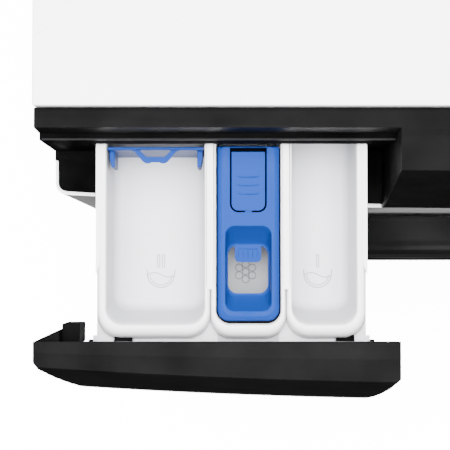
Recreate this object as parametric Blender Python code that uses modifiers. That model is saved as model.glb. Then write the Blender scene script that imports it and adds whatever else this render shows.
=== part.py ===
"""A front-loading washing machine, at rest with its detergent drawer pulled out and its door shut."""

import math

import bmesh
import bpy
from mathutils import Matrix, Vector

# ---- driving dimensions, in metres -------------------------------------------------------------
GAP = 0.0003  # between pieces that touch
WIDTH = 0.598
HEIGHT = 0.848
DEPTH = 0.555  # front panel's middle to rear panel
BOW = 0.0102  # how far the front falls back at its sides
DRAWER_OUT = 0.134  # how far the drawer stands pulled out
SHEET = 0.0015  # side and rear steel
FRONT_SHEET = 0.0024
FRONT_CORNER = 0.008
FLOOR_GAP = 0.016  # floor to cabinet
BASE_TOP = 0.038

WORKTOP_THICKNESS = 0.028
WORKTOP_STEP = 0.008  # worktop's top stands above the fascia's
FASCIA_DEPTH = 0.0586
FASCIA_LEAN = 0.0185  # top edge lies behind the bottom edge
FASCIA_WALL = 0.003

DRAWER_GAP = 0.001
RECESS_WALL = 0.0405  # behind the front panel's middle
LIP_BACK = 0.0464
LIP_DEEP = 0.025
LIP_LEAN = 0.0015  # the lip's bottom edge stands in front of its top
DRAWER_FACE_LEFT = -0.2988
DRAWER_FACE_RIGHT = -0.0681
FACE_PLAY = 0.0006  # between the drawer's front and the recess, drawer shut
TRAY_LEFT = -0.2637
TRAY_RIGHT = -0.0845
TRAY_RIM = 0.038  # below the fascia's top
TRAY_DEEP = 0.058
FASCIA_HEIGHT = TRAY_RIM + TRAY_DEEP + 0.009
TRAY_LENGTH = 0.232
TRAY_WALL = 0.0045
TRAY_FLOOR = 0.002
TRAY_PLAY = 0.003
CUP_WASH = (-0.2567, -0.1919)
CUP_SOFTENER = (-0.1843, -0.1416)
CUP_PREWASH = (-0.1343, -0.0916)
CUP_CORNER = 0.010
HOUSING_WALL = 0.002
CUP_FRONT = 0.0541  # cups' front rim behind the front panel's middle, drawer shut
CLIP_X = (-0.250, -0.105)
TRIM_DOWN = 0.0965
TRIM_PROUD = 0.0004
INSERT_BACK = 0.1722
INSERT_DEEP = 0.030
DISH_BACK = 0.1195
WINDOW_BACK = 0.107
TONGUE = (-0.1740, -0.1520)
TONGUE_FRONT = 0.1294
TONGUE_RIDGE = 0.1524
LIQUID_BACK = 0.1690
HOSE_X = -0.120
HOSE_RADIUS = 0.020

DOOR_HEIGHT = 0.430  # door's and drum's axis above the floor
DOOR_RADIUS = 0.235
DOOR_DEPTH = 0.032
DOOR_STANDOFF = 0.003
DOOR_HOLE = 0.172
BOWL_RADIUS = 0.148
HINGE_BEYOND = 0.005  # hinge pin outside the door's rim
HINGE_FORWARD = 0.012
PIN_RADIUS = 0.003
KNUCKLE_RADIUS = 0.007
KNUCKLE_HALF = 0.028
HOOK_OUT = DOOR_RADIUS - 0.032

TUB_RADIUS = 0.262
TUB_WALL = 0.003
TUB_FRONT = 0.0865  # behind the front panel's middle
TUB_JOIN = 0.264
TUB_REAR = 0.478
DRUM_RADIUS = TUB_RADIUS - 0.0185
DRUM_WALL = 0.0015
DRUM_MOUTH = 0.1545
SHAFT_RADIUS = 0.0125
PULLEY_RADIUS = 0.130
MOTOR_PULLEY_RADIUS = 0.010
MOTOR_X = 0.095
MOTOR_RADIUS = 0.060
MOTOR_LENGTH = 0.120
BELT_THICKNESS = 0.0025
PULLEY_WIDTH = 0.014

KNOB_X = 0.010
KNOB_RADIUS = 0.026
KNOB_OUT = 0.016
DISPLAY = (0.092, 0.192)
DISPLAY_HEIGHT = 0.034
BUTTON = (0.020, 0.009)
BUTTON_PLAY = 0.0005
BUTTON_PROUD = 0.0015
START_X = 0.250
START_RADIUS = 0.011
BUTTON_PLACES = (0.116, 0.168)
KNOB_Z = 0.786
KNOB_STEM = 0.004
DISPLAY_Z = 0.796
BUTTON_Z = 0.761

PRESSING_HALF = 0.170
PRESSING_BOTTOM = 0.200
PRESSING_TOP = 0.660
PRESSING_CORNER = 0.020
INLET_X = -0.200
INLET_Z = 0.785
INLET_RADIUS = 0.0105

PUMP_X = 0.190
PUMP_Z = 0.077
PUMP_RADIUS = 0.036
FLAP = (0.130, 0.250)
FLAP_TOP = 0.118
FLAP_AXIS = (0.0085, 0.030)  # behind the front panel's middle, above the floor
FOOT_X = 0.245
FOOT_INSET = 0.060
FOOT_RADIUS = 0.022
STEM_RADIUS = 0.005

# ---- worked out from them ----------------------------------------------------------------------
RECESS_RIGHT = DRAWER_FACE_RIGHT + DRAWER_GAP
HALF = WIDTH / 2
REAR_Y = (DEPTH + DRAWER_OUT) / 2
FRONT_Y = REAR_Y - DEPTH
FASCIA_TOP = HEIGHT - WORKTOP_STEP
FASCIA_BOTTOM = FASCIA_TOP - FASCIA_HEIGHT
FASCIA_BACK = FRONT_Y + FASCIA_DEPTH
WORKTOP_BOTTOM = HEIGHT - WORKTOP_THICKNESS
TRAY_TOP = FASCIA_TOP - TRAY_RIM
TRAY_BOTTOM = TRAY_TOP - TRAY_DEEP
SIDE_FRONT = FRONT_Y + BOW + FRONT_CORNER + 0.016
DRAWER_STEP_BACK = RECESS_WALL - 0.0005
TRAY_FRONT = DRAWER_STEP_BACK + GAP
TRAY_BACK = TRAY_FRONT + TRAY_LENGTH
TOP_TO_DISPLAY = FASCIA_TOP - DISPLAY_Z - DISPLAY_HEIGHT / 2
HOSE_Y = FRONT_Y + 0.200
TUB_INLET_TOP = 0.690
MOTOR_Z = 0.105
DRUM_REAR = TUB_REAR - 0.038
SPIDER_Y = DRUM_REAR + 0.0075
PULLEY_Y = TUB_REAR + 0.026
BEARING_RADIUS = 0.0262
HUB_OUTLINE = ((0.0265, -0.0145), (0.038, -0.0145), (0.038, 0.022), (0.0265, 0.022))
SPRING_X = 0.200
SPRING_Y = 0.320
DAMPER_X = 0.210
HINGE = (-DOOR_RADIUS - HINGE_BEYOND, FRONT_Y - HINGE_FORWARD, DOOR_HEIGHT)

scene = bpy.context.scene


# ---- modelling helpers -------------------------------------------------------------------------
def bow(x):
    """How far the bowed front lies behind its middle at x."""
    return BOW * (x / HALF) ** 2


def at(offset):
    """A place measured back from the middle of the front panel."""
    return FRONT_Y + offset


def start_scene():
    for obj in list(bpy.data.objects):
        bpy.data.objects.remove(obj, do_unlink=True)
    made = []
    for name in ("washing_machine", "cutters"):
        made.append(bpy.data.collections.new(name))
        scene.collection.children.link(made[-1])
    return made


parts, cutters = start_scene()


def material(name, colour, roughness, metallic=0.0, alpha=1.0):
    made = bpy.data.materials.new(name)
    made.use_nodes = True
    shader = made.node_tree.nodes["Principled BSDF"]
    shader.inputs["Base Color"].default_value = (*colour, 1.0)
    shader.inputs["Roughness"].default_value = roughness
    shader.inputs["Metallic"].default_value = metallic
    shader.inputs["Alpha"].default_value = alpha
    return made


def place(name, mesh, collection=None):
    made = bpy.data.objects.new(name, mesh)
    (collection or parts).objects.link(made)
    return made


def from_bmesh(name, bm):
    mesh = bpy.data.meshes.new(name)
    bmesh.ops.recalc_face_normals(bm, faces=bm.faces[:])
    bm.to_mesh(mesh)
    bm.free()
    return place(name, mesh)


def round_edges(obj, width, segments=2, angle=40):
    bevel = obj.modifiers.new("round", "BEVEL")
    bevel.width = width
    bevel.segments = segments
    bevel.limit_method = "ANGLE"
    bevel.angle_limit = math.radians(angle)
    return obj


def box(name, low, high, rounding=0.0, segments=2):
    bm = bmesh.new()
    bmesh.ops.create_cube(bm, size=1.0)
    for vert in bm.verts:
        vert.co = Vector((low[i] + (vert.co[i] + 0.5) * (high[i] - low[i]) for i in range(3)))
    made = from_bmesh(name, bm)
    return round_edges(made, rounding, segments) if rounding else made


def rod(name, start, end, radius, sides=24, end_radius=None):
    start, end = Vector(start), Vector(end)
    along = end - start
    bm = bmesh.new()
    bmesh.ops.create_cone(
        bm,
        cap_ends=True,
        segments=sides,
        radius1=radius,
        radius2=radius if end_radius is None else end_radius,
        depth=along.length,
    )
    turn = Vector((0, 0, 1)).rotation_difference(along).to_matrix().to_4x4()
    bmesh.ops.transform(bm, matrix=Matrix.Translation((start + end) / 2) @ turn, verts=bm.verts)
    return from_bmesh(name, bm)


def turned(name, profile, closed=True, wall=0.0, steps=32, centre=(0.0, DOOR_HEIGHT)):
    """Turns (radius, place back from the front) points about an axis along Y."""
    mesh = bpy.data.meshes.new(name)
    points = [(radius, at(back), 0.0) for radius, back in profile]
    count = len(points)
    edges = [(i, (i + 1) % count) for i in range(count if closed else count - 1)]
    mesh.from_pydata(points, edges, [])
    made = place(name + "_profile", mesh)
    made.location = (centre[0], 0.0, centre[1])
    screw = made.modifiers.new("turn", "SCREW")
    screw.axis = "Y"
    screw.steps = steps
    screw.render_steps = steps
    screw.use_merge_vertices = True
    screw.merge_threshold = 0.00001
    screw.use_normal_calculate = True
    if wall:
        shell = made.modifiers.new("wall", "SOLIDIFY")
        shell.thickness = wall
        shell.offset = 0.0
    return move_origin(as_mesh(made, name), (centre[0], FRONT_Y, centre[1]))


def arc(cx, cy, radius, start, end, count=4):
    """Points on a round stretch, angles in degrees."""
    turns = [math.radians(start + (end - start) * i / count) for i in range(count + 1)]
    return [(cx + radius * math.cos(a), cy + radius * math.sin(a)) for a in turns]


def rounded_outline(low, high, radius, count=4):
    (x0, y0), (x1, y1) = low, high
    return (
        arc(x0 + radius, y0 + radius, radius, 180, 270, count)
        + arc(x1 - radius, y0 + radius, radius, 270, 360, count)
        + arc(x1 - radius, y1 - radius, radius, 0, 90, count)
        + arc(x0 + radius, y1 - radius, radius, 90, 180, count)
    )


# An outline's own plane is XY; these turn it so that it is extruded along another axis.
FACING = {
    "Z": Matrix.Identity(4),
    "Y": Matrix.Rotation(math.radians(90), 4, "X"),
    "X": Matrix(((0, 0, 1, 0), (1, 0, 0, 0), (0, 1, 0, 0), (0, 0, 0, 1))),
}


def plate(name, outlines, axis, low, high):
    """Extrudes flat outlines along an axis from low to high: (x, y), (x, z) or (y, z) points."""
    curve = bpy.data.curves.new(name, "CURVE")
    curve.dimensions = "2D"
    curve.fill_mode = "BOTH"
    curve.extrude = (high - low) / 2
    for outline in outlines:
        spline = curve.splines.new("POLY")
        spline.points.add(len(outline) - 1)
        spline.use_cyclic_u = True
        for point, (u, v) in zip(spline.points, outline):
            point.co = (u, v, 0.0, 1.0)
    made = as_mesh(place(name + "_outline", curve), name)
    middle = (low + high) / 2
    shift = {"X": (middle, 0, 0), "Y": (0, middle, 0), "Z": (0, 0, middle)}[axis]
    made.data.transform(Matrix.Translation(shift) @ FACING[axis])
    return made


def as_mesh(obj, name):
    """Makes a curve, or an object with modifiers, a plain mesh in world coordinates."""
    bpy.context.view_layer.update()
    seen = obj.evaluated_get(bpy.context.evaluated_depsgraph_get())
    mesh = bpy.data.meshes.new_from_object(seen)
    mesh.transform(obj.matrix_world)
    bpy.data.objects.remove(obj, do_unlink=True)
    bm = bmesh.new()
    bm.from_mesh(mesh)
    bmesh.ops.remove_doubles(bm, verts=bm.verts[:], dist=0.000005)
    bmesh.ops.recalc_face_normals(bm, faces=bm.faces[:])
    bm.to_mesh(mesh)
    bm.free()
    return place(name, mesh)


def tube(name, points, radius, sides=2, closed=False):
    """A tube along points."""
    curve = bpy.data.curves.new(name, "CURVE")
    curve.dimensions = "3D"
    curve.bevel_depth = radius
    curve.bevel_resolution = sides
    curve.use_fill_caps = not closed
    spline = curve.splines.new("POLY")
    spline.points.add(len(points) - 1)
    spline.use_cyclic_u = closed
    for point, place_ in zip(spline.points, points):
        point.co = (*place_, 1.0)
    return as_mesh(place(name + "_path", curve), name)


def change(obj, operation, *others):
    """Cuts the others out of a piece, or joins them to it."""
    for other in others:
        for collection in list(other.users_collection):
            collection.objects.unlink(other)
        cutters.objects.link(other)
        other.hide_render = True
        other.display_type = "WIRE"
        boolean = obj.modifiers.new(operation.lower(), "BOOLEAN")
        boolean.operation = operation
        boolean.solver = "EXACT"
        boolean.object = other
    return obj


def cut(obj, *others):
    return change(obj, "DIFFERENCE", *others)


def join(obj, *others):
    return change(obj, "UNION", *others)


def bowed(obj, pitch=0.024):
    """Slices a piece into upright strips and sets each back by the front's bow."""
    obj = as_mesh(obj, obj.name)
    bm = bmesh.new()
    bm.from_mesh(obj.data)
    low = min(vert.co.x for vert in bm.verts)
    high = max(vert.co.x for vert in bm.verts)
    strips = max(2, round((high - low) / pitch))
    for i in range(1, strips):
        geometry = bm.verts[:] + bm.edges[:] + bm.faces[:]
        where = (low + (high - low) * i / strips, 0.0, 0.0)
        bmesh.ops.bisect_plane(bm, geom=geometry, plane_co=where, plane_no=(1, 0, 0))
    for vert in bm.verts:
        vert.co.y += bow(vert.co.x)
    bm.to_mesh(obj.data)
    bm.free()
    return obj


def move_origin(obj, place_):
    """Puts a piece's origin on its joint without moving the piece."""
    shift = Vector(place_) - obj.location
    obj.data.transform(Matrix.Translation(-shift))
    obj.location = Vector(place_)
    return obj


def paint(finish, *objects):
    for obj in objects:
        obj.data.materials.clear()
        obj.data.materials.append(finish)


# ---- cabinet -----------------------------------------------------------------------------------
def side_panel(name, low, high):
    rear, top = REAR_Y - SHEET - GAP, WORKTOP_BOTTOM - GAP
    back, under = FASCIA_BACK + GAP, FASCIA_BOTTOM - GAP
    front = SIDE_FRONT + GAP
    outline = [(front, FLOOR_GAP), (rear, FLOOR_GAP), (rear, top), (back, top)]
    outline += [(back, under), (front, under)]
    return plate(name, [outline], "X", low, high)


def cabinet():
    worktop = box(
        "worktop",
        (-HALF, FASCIA_BACK + GAP, WORKTOP_BOTTOM),
        (HALF, REAR_Y, HEIGHT),
        rounding=0.0025,
        segments=3,
    )
    left = side_panel("left_side_panel", -HALF, -HALF + SHEET)
    right = side_panel("right_side_panel", HALF - SHEET, HALF)
    rear_top = WORKTOP_BOTTOM - GAP
    rear = box("rear_panel", (-HALF, REAR_Y - SHEET, FLOOR_GAP), (HALF, REAR_Y, rear_top))
    low, high = (-PRESSING_HALF, PRESSING_BOTTOM), (PRESSING_HALF, PRESSING_TOP)
    pressing = rounded_outline(low, high, PRESSING_CORNER)
    cut(rear, plate("pressing", [pressing], "Y", REAR_Y - SHEET / 2, REAR_Y + 0.01))
    hole_ends = [(INLET_X, REAR_Y + y, INLET_Z) for y in (-0.02, 0.02)]
    cut(rear, rod("inlet_hole", *hole_ends, INLET_RADIUS + 0.002))
    return worktop, left, right, rear


def wrap_outline(inset):
    """The front panel's line in plan, from one side's return round to the other's."""
    radius = FRONT_CORNER - inset
    edge = HALF - FRONT_CORNER
    corner = at(bow(edge)) + FRONT_CORNER
    middle = [edge * (2 * i / 16 - 1) for i in range(1, 16)]
    return (
        [(-HALF + inset, SIDE_FRONT - GAP)]
        + arc(-edge, corner, radius, 180, 270, 5)
        + [(x, at(bow(x)) + inset) for x in middle]
        + arc(edge, corner, radius, 270, 360, 5)
        + [(HALF - inset, SIDE_FRONT - GAP)]
    )


def front():
    outline = wrap_outline(0.0) + wrap_outline(FRONT_SHEET)[::-1]
    panel = plate("front_panel", [outline], "Z", FLOOR_GAP + 0.002, FASCIA_BOTTOM - GAP)
    middle = (0.0, at(-0.05), DOOR_HEIGHT), (0.0, at(0.05), DOOR_HEIGHT)
    cut(panel, rod("door_hole", *middle, DOOR_HOLE, sides=64))
    slot_low = (HOOK_OUT - 0.008, at(-0.03), DOOR_HEIGHT - 0.012)
    slot_high = (HOOK_OUT + 0.011, at(0.03), DOOR_HEIGHT + 0.012)
    cut(panel, box("hook_slot", slot_low, slot_high))
    notch_low = (FLAP[0], at(-0.03), -0.01)
    cut(panel, box("flap_opening", notch_low, (FLAP[1], at(0.03), FLAP_TOP)))

    flap = box(
        "service_flap",
        (FLAP[0] + 0.0008, FRONT_Y, FLOOR_GAP + 0.006),
        (FLAP[1] - 0.0008, at(FRONT_SHEET), FLAP_TOP - 0.0008),
    )
    flap = move_origin(bowed(flap), (sum(FLAP) / 2, at(FLAP_AXIS[0]), FLAP_AXIS[1]))
    return panel, flap


def base_and_feet():
    side = HALF - FRONT_SHEET - 0.0006
    base = box("base", (-side, at(0.024), FLOOR_GAP), (side, REAR_Y - SHEET - GAP, BASE_TOP))
    inner = side - 0.006
    cut(base, box("base_hollow", (-inner, at(0.030), 0.020), (inner, REAR_Y - 0.008, 0.06)))
    well = FOOT_X - 0.040
    cut(base, box("base_opening", (-well, at(0.10), 0.0), (well, REAR_Y - 0.09, 0.03)))
    feet = []
    for depth, y in (("front", at(FOOT_INSET)), ("rear", REAR_Y - FOOT_INSET)):
        for side_name, x in (("left", -FOOT_X), ("right", FOOT_X)):
            cut(base, rod("stem_hole", (x, y, 0.0), (x, y, 0.03), STEM_RADIUS + 0.0005, 16))
            foot = rod(f"foot_{depth}_{side_name}", (x, y, 0), (x, y, 0.010), FOOT_RADIUS)
            join(foot, rod("stem", (x, y, 0.005), (x, y, 0.034), STEM_RADIUS, 12))
            feet.append(foot)
    return base, feet


# ---- control panel -----------------------------------------------------------------------------
def face_profile(inset=0.0, top=0.0, bottom=0.0):
    """The bulging front of the fascia, from its top edge down: (y, z) points."""
    steps = 8
    points = []
    for i in range(steps + 1):
        down = top + (FASCIA_HEIGHT - top - bottom) * i / steps
        lean = FASCIA_LEAN * (1 - math.sin(math.pi / 2 * min(1.0, down / FASCIA_HEIGHT)) ** 1.3)
        points.append((at(lean + inset), FASCIA_TOP - down))
    return points


def face_y(x, z):
    down = FASCIA_TOP - z
    lean = FASCIA_LEAN * (1 - math.sin(math.pi / 2 * down / FASCIA_HEIGHT) ** 1.3)
    return at(lean) + bow(x)


def fascia_panel():
    outline = face_profile() + [(FASCIA_BACK, FASCIA_BOTTOM), (FASCIA_BACK, FASCIA_TOP)]
    block = bowed(plate("fascia_panel", [outline], "X", -HALF, HALF))
    cut(block, box("back_trim", (-1, FASCIA_BACK, 0), (1, FASCIA_BACK + 0.1, 1)))

    wall = FASCIA_WALL
    hollow = face_profile(wall, wall, wall) + [
        (FASCIA_BACK + 0.03, FASCIA_BOTTOM + wall),
        (FASCIA_BACK + 0.03, FASCIA_TOP - wall),
    ]
    cut(block, bowed(plate("hollow", [hollow], "X", RECESS_RIGHT + wall, HALF - wall)))

    recess = [
        (at(-0.05), FASCIA_TOP + 0.01),
        (at(LIP_BACK), FASCIA_TOP + 0.01),
        (at(LIP_BACK - LIP_LEAN), FASCIA_TOP - LIP_DEEP),
        (at(RECESS_WALL), FASCIA_TOP - LIP_DEEP),
        (at(RECESS_WALL), FASCIA_BOTTOM + 0.0025),
        (at(-0.05), FASCIA_BOTTOM + 0.0025),
    ]
    cut(block, plate("recess", [recess], "X", -HALF - 0.01, RECESS_RIGHT))
    sill_edge = [(x, y) for x, y in wrap_outline(FRONT_SHEET) if x < RECESS_RIGHT]
    outside = [
        (-HALF - 0.01, sill_edge[0][1]),
        (-HALF - 0.01, at(-0.05)),
        (RECESS_RIGHT, at(-0.05)),
        (RECESS_RIGHT, at(bow(RECESS_RIGHT)) + FRONT_SHEET),
    ]
    cut(block, plate("sill", [outside + sill_edge[::-1]], "Z", 0.5, FASCIA_BOTTOM + 0.003))
    low = (-HALF + wall, at(RECESS_WALL + wall), FASCIA_BOTTOM + wall)
    high = (RECESS_RIGHT - wall, FASCIA_BACK + 0.01, FASCIA_TOP - LIP_DEEP - wall)
    cut(block, box("lip_hollow", low, high))

    mouth_low = (TRAY_LEFT - TRAY_PLAY, at(0), TRAY_BOTTOM - 0.002)
    mouth_high = (TRAY_RIGHT + TRAY_PLAY, FASCIA_BACK + 0.02, TRAY_TOP + 0.006)
    cut(block, box("tray_mouth", mouth_low, mouth_high))

    knob_pocket = (KNOB_X, at(0.012), KNOB_Z), (KNOB_X, at(-0.05), KNOB_Z)
    cut(block, rod("knob_pocket", *knob_pocket, KNOB_RADIUS + 0.0015, 40))
    stem_hole = (KNOB_X, at(0.03), KNOB_Z), (KNOB_X, at(-0.05), KNOB_Z)
    cut(block, rod("knob_stem_hole", *stem_hole, KNOB_STEM + 0.0005, 16))
    window = box(
        "window_opening",
        (DISPLAY[0], at(-0.05), DISPLAY_Z - DISPLAY_HEIGHT / 2),
        (DISPLAY[1], at(0.045), DISPLAY_Z + DISPLAY_HEIGHT / 2),
    )
    cut(block, window)
    for x in BUTTON_PLACES:
        half_x, half_z = (side / 2 + BUTTON_PLAY for side in BUTTON)
        low = (x - half_x, at(-0.05), BUTTON_Z - half_z)
        cut(block, box("button_hole", low, (x + half_x, at(0.045), BUTTON_Z + half_z)))
    start_hole = (START_X, at(0.045), DISPLAY_Z), (START_X, at(-0.05), DISPLAY_Z)
    cut(block, rod("start_hole", *start_hole, START_RADIUS + BUTTON_PLAY, 32))
    return block


def controls():
    front_face = face_y(KNOB_X, KNOB_Z) - KNOB_OUT
    knob = rod(
        "programme_knob",
        (KNOB_X, at(0.0115), KNOB_Z),
        (KNOB_X, front_face, KNOB_Z),
        KNOB_RADIUS,
        40,
        KNOB_RADIUS - 0.002,
    )
    round_edges(knob, 0.0015)
    stem = (KNOB_X, at(0.008), KNOB_Z), (KNOB_X, at(0.028), KNOB_Z)
    join(knob, rod("knob_stem", *stem, KNOB_STEM, 16))
    grip_low = (KNOB_X - 0.0015, front_face - 0.001, KNOB_Z + KNOB_RADIUS - 0.012)
    grip_high = (KNOB_X + 0.0015, front_face + 0.0008, KNOB_Z + KNOB_RADIUS - 0.004)
    cut(knob, box("knob_mark", grip_low, grip_high))

    edge = 0.0006
    inside = face_profile(0.0, TOP_TO_DISPLAY, FASCIA_HEIGHT - TOP_TO_DISPLAY - DISPLAY_HEIGHT)
    behind = [(y + 0.0025, z) for y, z in inside]
    across = DISPLAY[0] + edge, DISPLAY[1] - edge
    pane = bowed(plate("display_window", [inside + behind[::-1]], "X", *across))
    trim_low = (-1, -1, DISPLAY_Z + DISPLAY_HEIGHT / 2 - edge)
    cut(pane, box("pane_top", trim_low, (1, 1, 1)))
    cut(pane, box("pane_bottom", (-1, -1, 0), (1, 1, DISPLAY_Z - DISPLAY_HEIGHT / 2 + edge)))

    buttons = []
    for i, x in enumerate(BUTTON_PLACES):
        low = (x - BUTTON[0] / 2, face_y(x, BUTTON_Z) - BUTTON_PROUD, BUTTON_Z - BUTTON[1] / 2)
        high = (x + BUTTON[0] / 2, at(0.030), BUTTON_Z + BUTTON[1] / 2)
        buttons.append(box(f"option_button_{i + 1}", low, high, rounding=0.0012))
    start = rod(
        "start_button",
        (START_X, at(0.030), DISPLAY_Z),
        (START_X, face_y(START_X, DISPLAY_Z) - BUTTON_PROUD, DISPLAY_Z),
        START_RADIUS,
        32,
    )
    round_edges(start, 0.001)
    return knob, pane, buttons, start


# ---- detergent drawer and its housing ----------------------------------------------------------
def pulled(offset):
    """A place on the drawer, given where it is when the drawer is shut."""
    return at(offset) - DRAWER_OUT


def housing():
    low_x, high_x = TRAY_LEFT - TRAY_PLAY, TRAY_RIGHT + TRAY_PLAY
    wall = HOUSING_WALL
    front_y, back_y = FASCIA_BACK + GAP, at(TRAY_BACK + 0.010)
    bottom, top = TRAY_BOTTOM - 0.0025, TRAY_TOP + 0.012
    shell = box(
        "dispenser_housing",
        (low_x - wall, front_y, bottom - wall),
        (high_x + wall, back_y + wall, top + wall),
        rounding=0.001,
        segments=1,
    )
    cut(shell, box("housing_inside", (low_x, front_y - 0.01, bottom), (high_x, back_y, top)))
    outlet = (HOSE_X, HOSE_Y, bottom - 0.01), (HOSE_X, HOSE_Y, bottom + 0.01)
    cut(shell, rod("outlet", *outlet, HOSE_RADIUS - 0.003, 20))
    stub_top = WORKTOP_BOTTOM - 0.008
    hose = tube(
        "dispenser_hose",
        [(HOSE_X, HOSE_Y, z) for z in (bottom - wall - GAP, TUB_INLET_TOP + GAP)],
        HOSE_RADIUS,
        4,
    )
    valve = box(
        "inlet_valve",
        (INLET_X - 0.022, REAR_Y - 0.062, INLET_Z - 0.020),
        (INLET_X + 0.022, REAR_Y - SHEET - GAP, stub_top),
        rounding=0.002,
        segments=1,
    )
    thread = (INLET_X, REAR_Y - 0.02, INLET_Z), (INLET_X, REAR_Y + 0.004, INLET_Z)
    join(valve, rod("inlet_thread", *thread, INLET_RADIUS, 20))
    bore = (INLET_X, REAR_Y - 0.004, INLET_Z), (INLET_X, REAR_Y + 0.01, INLET_Z)
    cut(valve, rod("inlet_bore", *bore, INLET_RADIUS - 0.002, 16))
    return shell, hose, valve


def drawer_front():
    back = LIP_BACK - DRAWER_OUT
    outline = [(y - DRAWER_OUT, z) for y, z in face_profile(0.0, 0.0, 0.0)]
    outline += [(at(back), FASCIA_BOTTOM + 0.003), (at(back), FASCIA_TOP)]
    outline[-3] = (outline[-3][0], FASCIA_BOTTOM + 0.003)
    face = bowed(plate("drawer_front", [outline], "X", DRAWER_FACE_LEFT, DRAWER_FACE_RIGHT))
    trim_line = [
        (pulled(LIP_BACK - FACE_PLAY), FASCIA_TOP + 0.01),
        (pulled(LIP_BACK - FACE_PLAY - LIP_LEAN), FASCIA_TOP - LIP_DEEP),
        (pulled(LIP_BACK - FACE_PLAY - LIP_LEAN), 0),
        (1, 0),
        (1, FASCIA_TOP + 0.01),
    ]
    cut(face, plate("face_back_trim", [trim_line], "X", -1, 1))
    step_low = (-1, pulled(DRAWER_STEP_BACK), 0)
    cut(face, box("face_step", step_low, (1, 1, FASCIA_TOP - LIP_DEEP + 0.0005)))
    wall = 0.003
    hollow = [(y - DRAWER_OUT, z) for y, z in face_profile(wall, 0.004, 0.010)]
    hollow += [(at(back + 0.02), FASCIA_BOTTOM + 0.010), (at(back + 0.02), FASCIA_TOP - 0.004)]
    inner = DRAWER_FACE_LEFT + 0.005, TRAY_LEFT - 0.012
    cut(face, bowed(plate("left_hollow", [hollow], "X", *inner)))
    inner = TRAY_LEFT + 0.004, TRAY_RIGHT - 0.004
    hollow = [(y - DRAWER_OUT, z) for y, z in face_profile(wall, 0.022, 0.010)]
    hollow += [(at(back + 0.02), FASCIA_BOTTOM + 0.010), (at(back + 0.02), FASCIA_TOP - 0.022)]
    cut(face, bowed(plate("middle_hollow", [hollow], "X", *inner)))

    line = [(y - DRAWER_OUT - TRIM_PROUD, z) for y, z in face_profile(0.0, TRIM_DOWN, 0.006)]
    behind = [(y + 2 * TRIM_PROUD, z) for y, z in line]
    ends = DRAWER_FACE_LEFT + 0.004, DRAWER_FACE_RIGHT - 0.0004
    groove = [(y + 2 * TRIM_PROUD + GAP, z) for y, z in line]
    slot = [(y - 0.01, z) for y, z in line] + groove[::-1]
    slot[0], slot[-1] = (slot[0][0], slot[0][1] + GAP), (slot[-1][0], slot[-1][1] + GAP)
    slot[len(line) - 1] = (slot[len(line) - 1][0], slot[len(line) - 1][1] - GAP)
    slot[len(line)] = (slot[len(line)][0], slot[len(line)][1] - GAP)
    cut(face, bowed(plate("trim_groove", [slot], "X", ends[0] - GAP, ends[1] + 0.01)))
    trim = bowed(plate("drawer_trim", [line + behind[::-1]], "X", *ends))
    return face, trim


def tray():
    rim_back = TRAY_BACK
    body = box(
        "dispenser_tray",
        (TRAY_LEFT, pulled(TRAY_FRONT), TRAY_BOTTOM),
        (TRAY_RIGHT, pulled(rim_back), TRAY_TOP),
        rounding=0.0012,
    )
    shoulder = box(
        "shoulder",
        (-1, pulled(TRAY_FRONT) - 0.1, TRAY_TOP - 0.012),
        (1, pulled(CUP_FRONT) - TRAY_WALL, 1),
    )
    cut(body, shoulder)
    for cup_name, (low_x, high_x) in (("wash", CUP_WASH), ("prewash", CUP_PREWASH)):
        front_y, back_y = pulled(CUP_FRONT), pulled(rim_back) - TRAY_WALL
        outline = rounded_outline((low_x, front_y), (high_x, back_y), CUP_CORNER)
        floor = TRAY_BOTTOM + TRAY_FLOOR
        cut(body, plate(cup_name + "_cup", [outline], "Z", floor, TRAY_TOP + 0.01))
    low_x, high_x = CUP_SOFTENER
    front_y, back_y = pulled(CUP_FRONT + 0.0015), pulled(rim_back) - TRAY_WALL
    outline = rounded_outline((low_x, front_y), (high_x, back_y), 0.008)
    cut(body, plate("softener_cup", [outline], "Z", TRAY_BOTTOM + TRAY_FLOOR, TRAY_TOP + 0.01))
    drain_low = (CUP_WASH[0] + 0.01, back_y - 0.002, TRAY_BOTTOM + TRAY_FLOOR)
    drain_high = (CUP_WASH[1] - 0.01, back_y + 0.02, TRAY_BOTTOM + 0.022)
    cut(body, box("wash_drain", drain_low, drain_high))
    drain_low = (CUP_PREWASH[0] + 0.008, drain_low[1], drain_low[2])
    drain_high = (CUP_PREWASH[1] - 0.008, drain_high[1], drain_high[2])
    cut(body, box("prewash_drain", drain_low, drain_high))

    clips = []
    for side, x in (("left", CLIP_X[0]), ("right", CLIP_X[1])):
        low = (x - 0.006, pulled(TRAY_FRONT + 0.0015), TRAY_TOP - 0.012 + GAP)
        high = (x + 0.006, pulled(CUP_FRONT) - TRAY_WALL - GAP, TRAY_TOP - 0.004)
        clips.append(box(f"drawer_clip_{side}", low, high, rounding=0.0008))
    return body, clips


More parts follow.
